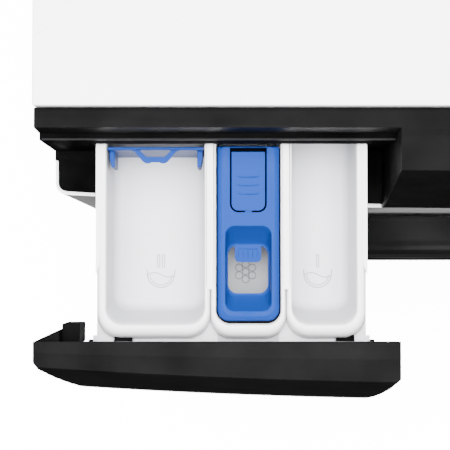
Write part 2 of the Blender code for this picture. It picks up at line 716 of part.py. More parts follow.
def inserts():
    inset = 0.0008
    low_x, high_x = CUP_SOFTENER[0] + inset, CUP_SOFTENER[1] - inset
    front_y, back_y = pulled(CUP_FRONT + 0.0015) + inset, pulled(INSERT_BACK)
    outline = rounded_outline((low_x, front_y), (high_x, back_y), 0.0072)
    top = TRAY_TOP - 0.0015
    insert = plate("softener_insert", [outline], "Z", top - INSERT_DEEP, top)
    dish_low = (low_x + 0.0035, front_y + 0.005)
    dish_high = (high_x - 0.0035, pulled(DISH_BACK))
    dish = rounded_outline(dish_low, dish_high, 0.006)
    cut(insert, plate("dish", [dish], "Z", top - 0.010, top + 0.01))
    window_high = (dish_high[0] - 0.001, pulled(WINDOW_BACK))
    window = rounded_outline((dish_low[0] + 0.001, dish_low[1] + 0.009), window_high, 0.004)
    cut(insert, plate("insert_window", [window], "Z", top - 0.1, top + 0.01))
    tongue_low = (TONGUE[0], pulled(TONGUE_FRONT))
    tongue_high = (TONGUE[1], back_y - 0.004)
    slot = 0.0009
    hole_low = (tongue_low[0] - slot, tongue_low[1] - slot)
    hole_high = (tongue_high[0] + slot, back_y + 0.01)
    hole = rounded_outline(hole_low, hole_high, 0.005)
    cut(insert, plate("tongue_slot", [hole], "Z", top - 0.1, top + 0.01))
    tongue = plate(
        "release_tongue",
        [rounded_outline(tongue_low, tongue_high, 0.004)],
        "Z",
        top - 0.0025,
        top - 0.0005,
    )
    for i in range(3):
        y = pulled(TONGUE_RIDGE) - 0.0056 * i
        ends = (TONGUE[0] + 0.005, y, top), (TONGUE[1] - 0.005, y, top)
        join(tongue, rod("ridge", ends[0], ends[1], 0.0009, 8))
    tongue = move_origin(as_mesh(tongue, "release_tongue"), tongue_hinge())

    low_x, high_x = CUP_WASH[0] + inset, CUP_WASH[1] - inset
    wall = 0.0022
    flap_y = pulled(LIQUID_BACK)
    floor = TRAY_BOTTOM + TRAY_FLOOR + 0.0006
    outline = [
        (low_x, floor),
        (high_x, floor),
        (high_x, TRAY_TOP + 0.001),
        (low_x, TRAY_TOP + 0.001),
    ]
    liquid = plate("liquid_insert", [outline], "Y", flap_y, flap_y + wall)
    for x in (low_x + 0.0002, high_x - 0.0040):
        leg_low = (x, pulled(LIQUID_BACK - 0.0145), TRAY_TOP - 0.030)
        leg_high = (x + 0.0038, flap_y + wall / 2, TRAY_TOP - 0.0006)
        join(liquid, box("leg", leg_low, leg_high))
    middle = (low_x + high_x) / 2
    loop = [(-0.0265, 0.001), (-0.0195, -0.0105), (0.0195, -0.0105), (0.0265, 0.001)]
    hole = [(-0.0195, -0.001), (-0.0155, -0.0062), (0.0155, -0.0062), (0.0195, -0.001)]
    pull = plate(
        "pull_loop",
        [[(middle + x, flap_y + y) for x, y in line] for line in (loop, hole)],
        "Z",
        TRAY_TOP - 0.0016,
        TRAY_TOP + 0.0006,
    )
    join(liquid, pull)
    return insert, tongue, liquid


def tongue_hinge():
    return ((TONGUE[0] + TONGUE[1]) / 2, pulled(INSERT_BACK) - 0.006, TRAY_TOP - 0.003)


# ---- door --------------------------------------------------------------------------------------
def door():
    back, face = -DOOR_STANDOFF, -DOOR_DEPTH
    wall = 0.003
    inner = DOOR_RADIUS - 0.057
    rim = arc(DOOR_RADIUS - 0.012, face + 0.012, 0.012, 360, 270, 5)
    ring = turned(
        "door_outer_ring",
        [(DOOR_RADIUS, back)]
        + rim
        + [(inner + 0.018, face - 0.002), (inner + 0.004, face + 0.002), (inner, face + 0.006)]
        + [(inner, face + 0.014), (inner + wall, face + 0.014), (inner + wall + 0.003, face + 0.006)]
        + [(inner + 0.020, face + 0.0015), (DOOR_RADIUS - 0.013, face + wall)]
        + arc(DOOR_RADIUS - 0.012, face + 0.012, 0.012 - wall, 285, 360, 3)
        + [(DOOR_RADIUS - wall, back)],
        steps=40,
    )
    x, y, z = HINGE
    notch_low = (x - 0.02, y - KNUCKLE_RADIUS - 0.001, z - KNUCKLE_HALF - 0.001)
    notch_high = (x + 0.040, at(0.01), z + KNUCKLE_HALF + 0.001)
    cut(ring, box("ring_notch", notch_low, notch_high))

    lid_front = -0.0155
    liner = turned(
        "door_inner_ring",
        [(DOOR_RADIUS - wall - 0.0006, -0.0035), (DOOR_RADIUS - wall - 0.0006, -0.0065)]
        + [(inner + wall + 0.008, -0.0065), (inner + wall + 0.004, lid_front)]
        + [(BOWL_RADIUS + 0.006, lid_front), (BOWL_RADIUS + 0.006, lid_front + 0.003)]
        + [(inner - 0.002, lid_front + 0.003), (inner + 0.003, -0.0035)],
        steps=40,
    )
    cut(liner, box("liner_notch", notch_low, notch_high))
    slot_low = (HOOK_OUT - 0.006, at(-0.03), DOOR_HEIGHT - 0.0085)
    slot_high = (HOOK_OUT + 0.008, at(0.01), DOOR_HEIGHT + 0.0085)
    cut(liner, box("hook_opening", slot_low, slot_high))

    glass = turned(
        "door_glass",
        [(inner - 0.0035, lid_front + 0.0065), (BOWL_RADIUS, lid_front + 0.0065)]
        + [(BOWL_RADIUS - 0.004, 0.020), (BOWL_RADIUS - 0.016, 0.070)]
        + arc(BOWL_RADIUS - 0.046, 0.078, 0.026, 10, 90, 4)
        + [(0.0, 0.106)],
        closed=False,
        wall=0.005,
        steps=32,
    )
    cover = turned(
        "door_cover",
        [(inner - 0.0022, face + 0.009), (0.130, face + 0.003), (0.0, face)],
        closed=False,
        wall=0.003,
        steps=32,
    )
    return ring, liner, glass, cover


def hinge_and_hook():
    x, y, z = HINGE
    half = KNUCKLE_HALF
    bracket = box(
        "hinge_bracket",
        (x - 0.013, at(bow(x) - 0.0034), z - half - 0.022),
        (x + 0.006, at(bow(x + 0.013) - 0.0012), z + half + 0.022),
    )
    panel_face = at(bow(x - 0.013))
    for low, high in ((z - half - 0.016, z - half - GAP), (z + half + GAP, z + half + 0.016)):
        join(bracket, rod("lug", (x, y, low), (x, y, high), KNUCKLE_RADIUS, 20))
        stem_high = (x + 0.0055, panel_face - 0.002, high)
        join(bracket, box("lug_stem", (x - 0.0055, y, low), stem_high))
    bore = (x, y, z - 0.1), (x, y, z + 0.1)
    cut(bracket, rod("bracket_bore", *bore, PIN_RADIUS + GAP, 16))
    pin = rod(
        "hinge_pin", (x, y, z - half - 0.018), (x, y, z + half + 0.018), PIN_RADIUS, 16
    )
    leaf = rod("hinge_leaf", (x, y, z - half), (x, y, z + half), KNUCKLE_RADIUS, 20)
    arm_low = (x, y - 0.0025, z - half + 0.002)
    join(leaf, box("leaf_arm", arm_low, (x + 0.036, y + 0.0025, z + half - 0.002)))
    cut(leaf, rod("leaf_bore", *bore, PIN_RADIUS + GAP, 16))
    leaf = move_origin(as_mesh(leaf, "hinge_leaf"), HINGE)

    hook_low = (HOOK_OUT - 0.003, at(-0.013), DOOR_HEIGHT - 0.007)
    hook = box("door_hook", hook_low, (HOOK_OUT + 0.001, at(0.022), DOOR_HEIGHT + 0.007))
    beak_low = (HOOK_OUT - 0.0005, at(0.014), DOOR_HEIGHT - 0.007)
    join(hook, box("beak", beak_low, (HOOK_OUT + 0.006, at(0.020), DOOR_HEIGHT + 0.007)))
    hook = move_origin(as_mesh(hook, "door_hook"), hook_hinge())
    lock = box(
        "door_lock",
        (HOOK_OUT - 0.016, at(bow(HOOK_OUT + 0.025) + FRONT_SHEET + 0.0005), DOOR_HEIGHT - 0.045),
        (HOOK_OUT + 0.024, at(0.036), DOOR_HEIGHT + 0.045),
        rounding=0.002,
        segments=1,
    )
    pocket_low = (HOOK_OUT - 0.011, at(-0.01), DOOR_HEIGHT - 0.010)
    cut(lock, box("lock_pocket", pocket_low, (HOOK_OUT + 0.013, at(0.030), DOOR_HEIGHT + 0.010)))
    return bracket, pin, leaf, hook, lock


def hook_hinge():
    return (HOOK_OUT - 0.001, at(-0.011), DOOR_HEIGHT)


def door_seal():
    fold = [(0.1695, 0.0015), (0.1695, 0.0075), (0.160, 0.0095), (0.1515, 0.0135)]
    fold += [(0.1525, 0.022), (0.163, 0.030), (0.1665, 0.038), (0.160, 0.046)]
    fold += [(0.156, 0.054), (0.160, 0.061), (0.1650, 0.067), (0.1650, TUB_FRONT - 0.004)]
    return turned("door_seal", fold, closed=False, wall=0.0026, steps=32)


# ---- tub, drum and drive -----------------------------------------------------------------------
def tub():
    mouth = 0.1615
    flange = TUB_RADIUS + 0.008
    front_half = turned(
        "tub_front",
        [(mouth, TUB_FRONT - 0.012), (mouth, TUB_FRONT), (TUB_RADIUS - 0.008, TUB_FRONT)]
        + [(TUB_RADIUS, TUB_FRONT + 0.008), (TUB_RADIUS, TUB_JOIN - 0.0018)]
        + [(flange, TUB_JOIN - 0.0018)],
        closed=False,
        wall=TUB_WALL,
    )
    rear_half = turned(
        "tub_rear",
        [(flange, TUB_JOIN + 0.0018), (TUB_RADIUS, TUB_JOIN + 0.0018)]
        + [(TUB_RADIUS, TUB_REAR - 0.008), (TUB_RADIUS - 0.008, TUB_REAR), (0.036, TUB_REAR)],
        closed=False,
        wall=TUB_WALL,
    )
    hub = [(x, TUB_REAR + y) for x, y in HUB_OUTLINE]
    join(rear_half, turned("hub", hub, steps=32))
    lug_low = (MOTOR_X - 0.012, at(0.370), MOTOR_Z + MOTOR_RADIUS + GAP)
    lug_high = (MOTOR_X + 0.012, at(0.430), tub_surface(MOTOR_X, -1) + 0.008)
    join(rear_half, box("motor_lug", lug_low, lug_high))
    inlet = (HOSE_X, HOSE_Y, tub_surface(HOSE_X, 1) - 0.004), (HOSE_X, HOSE_Y, TUB_INLET_TOP)
    join(front_half, rod("tub_inlet", *inlet, HOSE_RADIUS, 20))
    bore = (HOSE_X, HOSE_Y, DOOR_HEIGHT + 0.15), (HOSE_X, HOSE_Y, TUB_INLET_TOP + 0.01)
    cut(front_half, rod("tub_inlet_bore", *bore, HOSE_RADIUS - 0.003, 16))
    weight = turned(
        "counterweight",
        [(0.176, TUB_FRONT - 0.006), (0.176, 0.047), (0.246, 0.047), (0.254, TUB_FRONT - 0.006)],
        steps=40,
    )
    return front_half, rear_half, weight


def tub_surface(x, up):
    return DOOR_HEIGHT + up * math.sqrt((TUB_RADIUS + TUB_WALL / 2) ** 2 - x * x)


def drum():
    shell = turned(
        "drum_shell",
        [(DRUM_MOUTH, TUB_FRONT + 0.018), (DRUM_MOUTH, TUB_FRONT + 0.011)]
        + [(DRUM_MOUTH + 0.006, TUB_FRONT + 0.0075), (DRUM_RADIUS - 0.006, TUB_FRONT + 0.0075)]
        + [(DRUM_RADIUS, TUB_FRONT + 0.013), (DRUM_RADIUS, DRUM_REAR)],
        closed=False,
        wall=DRUM_WALL,
    )
    back = turned(
        "drum_back",
        [(0.0, DRUM_REAR + 0.006), (0.200, DRUM_REAR + 0.006), (DRUM_RADIUS, DRUM_REAR + 0.0018)],
        closed=False,
        wall=DRUM_WALL,
    )
    paddles = []
    for i in range(3):
        angle = math.radians(90 + 120 * i)
        paddle = box(
            f"drum_paddle_{i + 1}",
            (-0.026, at(TUB_FRONT + 0.045), -DRUM_RADIUS + 0.006),
            (0.026, at(DRUM_REAR - 0.030), -DRUM_RADIUS + 0.052),
        )
        for vert in paddle.data.vertices:
            if vert.co.z > -DRUM_RADIUS + 0.03:
                vert.co.x *= 0.35
                vert.co.y += math.copysign(0.020, FRONT_Y + 0.27 - vert.co.y)
        turn = Matrix.Rotation(angle + math.pi / 2, 4, "Y")
        paddle.data.transform(turn)
        paddle.location = (0.0, 0.0, DOOR_HEIGHT)
        paddles.append(round_edges(paddle, 0.005, 2))
    return shell, back, paddles


def drive():
    spider = rod(
        "drum_spider", (0, at(SPIDER_Y), DOOR_HEIGHT), (0, at(SPIDER_Y + 0.013), DOOR_HEIGHT), 0.030
    )
    for i in range(3):
        arm = box("arm", (-0.011, at(SPIDER_Y), 0.0), (0.011, at(SPIDER_Y + 0.010), 0.225))
        arm.data.transform(Matrix.Rotation(math.radians(120 * i), 4, "Y"))
        arm.location = (0.0, 0.0, DOOR_HEIGHT)
        join(spider, arm)
    shaft = (0, at(SPIDER_Y + 0.005), DOOR_HEIGHT), (0, at(PULLEY_Y + 0.019), DOOR_HEIGHT)
    join(spider, rod("drum_shaft", *shaft, SHAFT_RADIUS, 24))
    spider = move_origin(as_mesh(spider, "drum_spider"), (0.0, at(SPIDER_Y), DOOR_HEIGHT))

    bearings = []
    for name, y in (("front_bearing", TUB_REAR - 0.012), ("rear_bearing", TUB_REAR + 0.008)):
        ring = [(SHAFT_RADIUS + GAP, y), (BEARING_RADIUS, y)]
        ring += [(BEARING_RADIUS, y + 0.012), (SHAFT_RADIUS + GAP, y + 0.012)]
        bearings.append(turned(name, ring, steps=32))

    bore, hub, rim = SHAFT_RADIUS + GAP, SHAFT_RADIUS + 0.012, PULLEY_RADIUS - 0.010
    y = PULLEY_Y
    section = [(bore, y), (hub, y), (hub, y + 0.005), (rim, y + 0.005), (rim, y)]
    section += [(PULLEY_RADIUS, y), (PULLEY_RADIUS, y + PULLEY_WIDTH), (rim, y + PULLEY_WIDTH)]
    section += [(rim, y + 0.009), (hub, y + 0.009), (hub, y + 0.017), (bore, y + 0.017)]
    pulley = turned("drum_pulley", section)
    for i in range(5):
        angle = math.radians(72 * i)
        x, z = 0.072 * math.cos(angle), DOOR_HEIGHT + 0.072 * math.sin(angle)
        cut(pulley, rod("spoke_gap", (x, at(y - 0.02), z), (x, at(y + 0.04), z), 0.029, 20))

    motor = rod(
        "motor",
        (MOTOR_X, at(PULLEY_Y - 0.030 - MOTOR_LENGTH), MOTOR_Z),
        (MOTOR_X, at(PULLEY_Y - 0.030), MOTOR_Z),
        MOTOR_RADIUS,
        32,
    )
    round_edges(motor, 0.006)
    rotor = rod(
        "motor_pulley",
        (MOTOR_X, at(PULLEY_Y), MOTOR_Z),
        (MOTOR_X, at(PULLEY_Y + PULLEY_WIDTH + 0.002), MOTOR_Z),
        MOTOR_PULLEY_RADIUS,
        20,
    )
    neck = (MOTOR_X, at(PULLEY_Y - 0.030 + GAP), MOTOR_Z), (MOTOR_X, at(PULLEY_Y + 0.005), MOTOR_Z)
    join(rotor, rod("motor_shaft", *neck, 0.006, 16))
    rotor = move_origin(as_mesh(rotor, "motor_pulley"), (MOTOR_X, at(PULLEY_Y), MOTOR_Z))

    loops = [belt_line(BELT_THICKNESS + 2 * GAP), belt_line(2 * GAP)]
    belt = plate("drive_belt", loops, "Y", at(y + 0.001), at(y + PULLEY_WIDTH - 0.001))
    return spider, bearings, pulley, motor, rotor, belt


def belt_line(out):
    """Round both pulleys at a distance out from their rims, as (x, z) points."""
    across, down = MOTOR_X, MOTOR_Z - DOOR_HEIGHT
    heading = math.degrees(math.atan2(down, across))
    difference = PULLEY_RADIUS - MOTOR_PULLEY_RADIUS
    half = math.degrees(math.acos(difference / math.hypot(across, down)))
    large, small = PULLEY_RADIUS + out, MOTOR_PULLEY_RADIUS + out
    around = arc(0.0, DOOR_HEIGHT, large, heading + half, heading + 360 - half, 32)
    return around + arc(MOTOR_X, MOTOR_Z, small, heading - half, heading + half, 8)


def suspension():
    made = []
    for side, sign in (("left", -1), ("right", 1)):
        x = sign * SPRING_X
        bottom = tub_surface(SPRING_X, 1) + 0.006
        top = WORKTOP_BOTTOM - 0.012
        turns, per_turn = 9, 8
        coil = []
        for i in range(turns * per_turn + 1):
            angle = 2 * math.pi * i / per_turn
            z = bottom + 0.022 + (top - bottom - 0.044) * i / (turns * per_turn)
            coil.append((x + 0.011 * math.cos(angle), at(SPRING_Y) + 0.011 * math.sin(angle), z))
        path = [(x, at(SPRING_Y), bottom)] + coil + [(x, at(SPRING_Y), top)]
        made.append(tube(f"suspension_spring_{side}", path, 0.0016, 0))

        start = Vector((sign * DAMPER_X, at(SPRING_Y), 0.050))
        end = Vector((sign * (DAMPER_X - 0.040), at(SPRING_Y), tub_surface(DAMPER_X - 0.04, -1)))
        end.z -= 0.004
        split = start.lerp(end, 0.6)
        damper = rod(f"damper_{side}", start, split, 0.013, 20)
        join(damper, rod("damper_rod", start.lerp(end, 0.5), end, 0.005, 12))
        made.append(damper)
    return made


def heater():
    """A hairpin of tube between tub and drum, along the bottom."""
    radius = (TUB_RADIUS + DRUM_RADIUS) / 2
    path = []
    for angle, y in ((-97, 0.465), (-97, 0.34), (-95, 0.325), (-90, 0.318), (-85, 0.325)):
        turn = math.radians(angle)
        path.append((radius * math.cos(turn), at(y), DOOR_HEIGHT + radius * math.sin(turn)))
    for angle, y in ((-83, 0.34), (-83, 0.465)):
        turn = math.radians(angle)
        path.append((radius * math.cos(turn), at(y), DOOR_HEIGHT + radius * math.sin(turn)))
    return tube("heater", path, 0.003, 2)


# ---- pump --------------------------------------------------------------------------------------
def pump():
    wall = 0.004
    inner = PUMP_RADIUS - wall
    section = [(0.0, 0.190), (PUMP_RADIUS - 0.008, 0.190), (PUMP_RADIUS - 0.008, 0.130)]
    section += [(PUMP_RADIUS, 0.130), (PUMP_RADIUS, 0.034), (inner, 0.034)]
    section += [(inner, 0.120), (0.0, 0.120)]
    centre = (PUMP_X, PUMP_Z)
    body = turned("drain_pump", section, closed=False, steps=32, centre=centre)
    cap = rod(
        "pump_filter_cap",
        (PUMP_X, at(0.0215), PUMP_Z),
        (PUMP_X, at(0.070), PUMP_Z),
        inner - 0.0008,
        32,
    )
    grip_low = (PUMP_X - 0.004, at(0.0125), PUMP_Z - 0.024)
    join(cap, box("grip", grip_low, (PUMP_X + 0.004, at(0.0225), PUMP_Z + 0.024)))
    cap = move_origin(as_mesh(cap, "pump_filter_cap"), (PUMP_X, at(0.030), PUMP_Z))
    return body, cap


# ---- the whole machine -------------------------------------------------------------------------
def build():
    enamel = material("white_enamel", (0.86, 0.86, 0.85), 0.22)
    laminate = material("worktop_laminate", (0.87, 0.87, 0.86), 0.32)
    black = material("black_fascia", (0.018, 0.018, 0.020), 0.28)
    black_gloss = material("door_black", (0.012, 0.012, 0.014), 0.12)
    silver = material("silver_trim", (0.70, 0.71, 0.72), 0.22, 0.9)
    white_plastic = material("tray_plastic", (0.84, 0.86, 0.87), 0.30)
    blue = material("insert_blue", (0.11, 0.27, 0.60), 0.28)
    smoked = material("smoked_glass", (0.02, 0.02, 0.025), 0.05, alpha=0.5)
    clear = material("bowl_glass", (0.75, 0.80, 0.80), 0.04, alpha=0.35)
    rubber = material("grey_rubber", (0.28, 0.29, 0.30), 0.60)
    steel = material("drum_steel", (0.62, 0.62, 0.63), 0.28, 1.0)
    zinc = material("zinc_steel", (0.48, 0.49, 0.50), 0.42, 0.9)
    grey_plastic = material("grey_plastic", (0.42, 0.43, 0.45), 0.50)
    dark_plastic = material("dark_plastic", (0.05, 0.05, 0.055), 0.50)
    concrete = material("weight_concrete", (0.45, 0.44, 0.42), 0.90)
    casting = material("cast_aluminium", (0.58, 0.58, 0.59), 0.50, 0.9)

    worktop, left, right, rear = cabinet()
    panel, flap = front()
    base, feet = base_and_feet()
    paint(laminate, worktop)
    paint(enamel, left, right, panel, flap)
    paint(zinc, rear)
    paint(grey_plastic, base)
    paint(dark_plastic, *feet)

    console = fascia_panel()
    knob, pane, buttons, start = controls()
    paint(black, console, *buttons)
    paint(silver, knob, start)
    paint(smoked, pane)

    shell, hose, valve = housing()
    face, trim = drawer_front()
    tray_body, clips = tray()
    insert, tongue, liquid = inserts()
    paint(white_plastic, shell, tray_body)
    paint(rubber, hose)
    paint(dark_plastic, valve, *clips)
    paint(black, face)
    paint(silver, trim)
    paint(blue, insert, tongue, liquid)

    ring, liner, glass, door_cover = door()
    bracket, pin, leaf, hook, lock = hinge_and_hook()
    paint(black_gloss, ring)
    paint(dark_plastic, liner, lock)
    paint(clear, glass)
    paint(smoked, door_cover)
    paint(zinc, bracket, pin, leaf, hook)
    paint(rubber, door_seal())

    front_half, rear_half, weight = tub()
    drum_shell, drum_back, paddles = drum()
    spider, bearings, pulley, motor, rotor, belt = drive()
    paint(grey_plastic, front_half, rear_half)
    paint(concrete, weight)
    paint(steel, drum_shell, drum_back)
    paint(white_plastic, *paddles)
    paint(casting, spider, pulley)
    paint(zinc, *bearings, rotor)
    paint(dark_plastic, motor)
    paint(rubber, belt)
    paint(zinc, *suspension(), heater())
    body, cap = pump()
    paint(grey_plastic, body)
    paint(dark_plastic, cap)


build()
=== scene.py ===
import math

import bmesh
import bpy
from mathutils import Matrix, Vector


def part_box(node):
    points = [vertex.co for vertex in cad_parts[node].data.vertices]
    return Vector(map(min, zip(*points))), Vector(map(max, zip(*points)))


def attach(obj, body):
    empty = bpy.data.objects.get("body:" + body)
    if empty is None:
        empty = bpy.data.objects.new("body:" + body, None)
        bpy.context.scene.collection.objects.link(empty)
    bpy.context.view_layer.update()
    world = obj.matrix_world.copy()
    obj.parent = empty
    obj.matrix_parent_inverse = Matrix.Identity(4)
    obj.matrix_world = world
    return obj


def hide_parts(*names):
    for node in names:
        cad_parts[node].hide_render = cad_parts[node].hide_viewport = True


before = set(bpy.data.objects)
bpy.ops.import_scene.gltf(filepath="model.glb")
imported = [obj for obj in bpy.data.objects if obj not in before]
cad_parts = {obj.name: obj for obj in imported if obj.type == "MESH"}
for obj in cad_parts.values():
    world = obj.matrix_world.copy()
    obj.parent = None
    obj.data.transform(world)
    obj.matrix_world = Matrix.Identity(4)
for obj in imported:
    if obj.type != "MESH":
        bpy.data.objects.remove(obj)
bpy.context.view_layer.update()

# ---- places read from the frame, in metres -----------------------------------------------------
PANEL_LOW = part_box("front_panel")[0]
FASCIA_LOW, FASCIA_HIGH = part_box("fascia_panel")
WORKTOP_LOW, WORKTOP_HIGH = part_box("worktop")
TRAY_LOW, TRAY_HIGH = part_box("dispenser_tray")
FACE_LOW, FACE_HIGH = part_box("drawer_front")
INSERT_LOW, INSERT_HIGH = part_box("softener_insert")
TONGUE_LOW, TONGUE_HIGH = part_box("release_tongue")
LIQUID_LOW, LIQUID_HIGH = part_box("liquid_insert")
DOOR_LOW, DOOR_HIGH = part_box("door_outer_ring")

HALF = FASCIA_HIGH[0]
FRONT_Y = PANEL_LOW[1]  # the middle of the bowed front
BOW = 0.0102
FASCIA_TOP = FASCIA_HIGH[2]
FASCIA_HEIGHT = FASCIA_HIGH[2] - FASCIA_LOW[2]
FASCIA_LEAN = 0.0185
DRAWER_OUT = 0.134
RECESS_RIGHT = FACE_HIGH[0] + 0.001
RECESS_WALL = 0.0405
LIP_DEEP = 0.025
DRUM_RADIUS = 0.2435
FLANGE_PAST = 0.0025  # the flange goes this far past the tray
CLIPS = ("left", -0.2459), ("right", -0.0989)
CUP_FRONT = 0.0541
RIM = TRAY_HIGH[2]
CUP_WASH = (-0.2567, -0.1919)
CUP_SOFTENER = (-0.1843, -0.1416)
CUP_PREWASH = (-0.1343, -0.0916)
EYE_HEIGHT = 0.795  # above the fascia's top
EYE_FORWARD = 0.0425  # in front of the front panel's middle
EYE_X = -0.1784
TILT = math.radians(1.945)


def at(offset):
    """A place measured back from the middle of the front panel."""
    return FRONT_Y + offset


def pulled(offset):
    """A place on the drawer, given where it is when the drawer is shut."""
    return FRONT_Y + offset - DRAWER_OUT


def bow(x):
    return BOW * (x / HALF) ** 2


def face_lean(down):
    """How far the fascia's front lies behind its bottom edge, at a depth below its top."""
    share = min(1.0, max(0.0, down / FASCIA_HEIGHT))
    return FASCIA_LEAN * (1 - math.sin(math.pi / 2 * share) ** 1.3)


# ---- materials ---------------------------------------------------------------------------------
class Value:
    """A node's output that takes arithmetic."""

    def __init__(self, recipe, socket):
        self.recipe, self.socket = recipe, socket

    def maths(self, operation, *values):
        return self.recipe.node("ShaderNodeMath", {"operation": operation}, *values)

    def __add__(self, other):
        return self.maths("ADD", self, other)

    def __sub__(self, other):
        return self.maths("SUBTRACT", self, other)

    def __rsub__(self, other):
        return self.maths("SUBTRACT", other, self)

    def __mul__(self, other):
        return self.maths("MULTIPLY", self, other)


class Recipe:
    """A material in the making: a Principled shader and the nodes that feed it."""

    def __init__(self, name, colour, roughness, metallic=0.0, **settings):
        self.material = bpy.data.materials.new(name)
        self.material.use_nodes = True
        self.tree = self.material.node_tree
        self.shader = self.tree.nodes["Principled BSDF"]
        self.shader.inputs["Base Color"].default_value = (*colour, 1.0)
        self.shader.inputs["Roughness"].default_value = roughness
        self.shader.inputs["Metallic"].default_value = metallic
        self.material.diffuse_color = (*colour, 1.0)
        for socket, value in settings.items():
            self.shader.inputs[socket.replace("_", " ")].default_value = value
        place = self.tree.nodes.new("ShaderNodeTexCoord")
        self.place = Value(self, place.outputs["Object"])

    def node(self, kind, settings, *values, output=0, **sockets):
        made = self.tree.nodes.new(kind)
        for key, value in settings.items():
            if key == "stops":
                for stop, (position, colour) in zip(made.color_ramp.elements, value):
                    stop.position, stop.color = position, colour
            else:
                setattr(made, key, value)
        feeds = list(enumerate(values)) + [(k.replace("_", " "), v) for k, v in sockets.items()]
        for key, value in feeds:
            if isinstance(value, Value):
                self.tree.links.new(value.socket, made.inputs[key])
            else:
                made.inputs[key].default_value = value
        return Value(self, made.outputs[output])

    def feed(self, socket, value):
        self.tree.links.new(value.socket, self.shader.inputs[socket])

    def noise(self, scale, detail=3.0, place=None, **more):
        return self.node(
            "ShaderNodeTexNoise", {}, Vector=place or self.place, Scale=scale, Detail=detail, **more
        )

    def stretched(self, x, y, z):
        return self.node("ShaderNodeMapping", {}, Vector=self.place, Scale=(x, y, z))

    def blend(self, share, first, second):
        made = self.tree.nodes.new("ShaderNodeMix")
        made.data_type = "RGBA"
        for index, value in ((0, share), (6, first), (7, second)):
            if isinstance(value, Value):
                self.tree.links.new(value.socket, made.inputs[index])
            elif index:
                made.inputs[index].default_value = (*value, 1.0)
            else:
                made.inputs[index].default_value = value
        return Value(self, made.outputs[2])

    def bump(self, height, strength, distance=0.001):
        made = self.node(
            "ShaderNodeBump", {}, Strength=strength, Distance=distance, Height=height
        )
        self.feed("Normal", made)
        return self


def spread(recipe, noise, low, high):
    """Brings a noise into a range."""
    return recipe.node(
        "ShaderNodeMapRange",
        {},
        Value=noise,
        **{"From_Min": 0.3, "From_Max": 0.7, "To_Min": low, "To_Max": high},
    )


def painted(name, colour, roughness):
    """Stove enamel: a faint orange peel, with a few softer places where hands wipe it."""
    made = Recipe(name, colour, roughness, Coat_Weight=0.35, Coat_Roughness=0.08)
    wiped = made.noise(9.0, 4.0)
    made.feed("Roughness", spread(made, wiped, roughness - 0.02, roughness + 0.04))
    tone = spread(made, made.noise(2.5, 2.0), 0.0, 1.0)
    darker = tuple(c * 0.975 for c in colour)
    made.feed("Base Color", made.blend(tone, colour, darker))
    made.bump(made.noise(420.0, 2.0), 0.06, 0.0004)
    return made.material


def moulded(name, colour, roughness, grain=900.0, relief=0.12, tint=0.06, **settings):
    """An injection moulding: fine grain, a slow drift of gloss, a little dust in its tone."""
    made = Recipe(name, colour, roughness, **settings)
    drift = made.noise(14.0, 4.0)
    made.feed("Roughness", spread(made, drift, roughness * 0.85, roughness * 1.2))
    paler = tuple(min(1.0, c * (1 - tint) + 0.6 * tint * tint) for c in colour)
    made.feed("Base Color", made.blend(spread(made, made.noise(30.0, 5.0), 0.0, 1.0), colour, paler))
    made.bump(made.noise(grain, 2.0), relief, 0.0003)
    return made.material


def tray_plastic(name):
    """White moulding with painted shade: it greys with depth in the cups, and darker still in the
    softener cup under its insert.
    """
    made = Recipe(name, (0.70, 0.70, 0.71), 0.34)
    # Painted shade: grey low in the cups, white only near the rim.
    up = made.node("ShaderNodeSeparateXYZ", {}, made.place, output="Z")
    rise = made.node(
        "ShaderNodeMapRange",
        {"interpolation_type": "SMOOTHSTEP"},
        Value=up,
        **{"From_Min": RIM - 0.016, "From_Max": RIM - 0.0006},
    )
    film = spread(made, made.noise(38.0, 5.0), 0.0, 1.0)
    # Painted shade: the softener cup, under its insert, is painted near black.
    across = made.node("ShaderNodeSeparateXYZ", {}, made.place) - sum(CUP_SOFTENER) / 2
    away = made.node("ShaderNodeMath", {"operation": "ABSOLUTE"}, across)
    under_insert_shade = made.node("ShaderNodeMath", {"operation": "LESS_THAN"}, away, 0.0205)
    deep = made.blend(film, (0.50, 0.505, 0.53), (0.485, 0.49, 0.515))
    deep = made.blend(under_insert_shade, deep, (0.215, 0.22, 0.236))
    made.feed("Base Color", made.blend(rise, deep, (0.72, 0.72, 0.725)))
    made.feed("Roughness", spread(made, made.noise(14.0, 4.0), 0.29, 0.41))
    made.bump(made.noise(900.0, 2.0), 0.05, 0.0003)
    return made.material


def metal(name, colour, roughness, along=(1.0, 1.0, 1.0), scale=240.0, relief=0.10):
    """Bare metal with drawing marks that run where the stretch is small."""
    made = Recipe(name, colour, roughness, 1.0)
    marks = made.noise(scale, 6.0, place=made.stretched(*along))
    made.feed("Roughness", spread(made, marks, roughness * 0.75, roughness * 1.35))
    stained = tuple(c * 0.86 for c in colour)
    made.feed("Base Color", made.blend(spread(made, made.noise(6.0, 5.0), 0.0, 1.0), colour, stained))
    made.bump(marks, relief, 0.0003)
    return made.material


def zinc_plated():
    """Galvanised sheet: crystals of slightly different brightness."""
    made = Recipe("zinc_plate", (0.60, 0.61, 0.62), 0.38, 0.7)
    crystals = made.node(
        "ShaderNodeTexVoronoi", {}, Vector=made.place, Scale=210.0, output="Color"
    )
    grey = made.node("ShaderNodeRGBToBW", {}, crystals)
    made.feed("Base Color", made.blend(grey, (0.57, 0.58, 0.595), (0.63, 0.64, 0.65)))
    made.feed("Roughness", spread(made, grey, 0.36, 0.42))
    made.bump(made.noise(160.0, 3.0), 0.05, 0.0003)
    return made.material


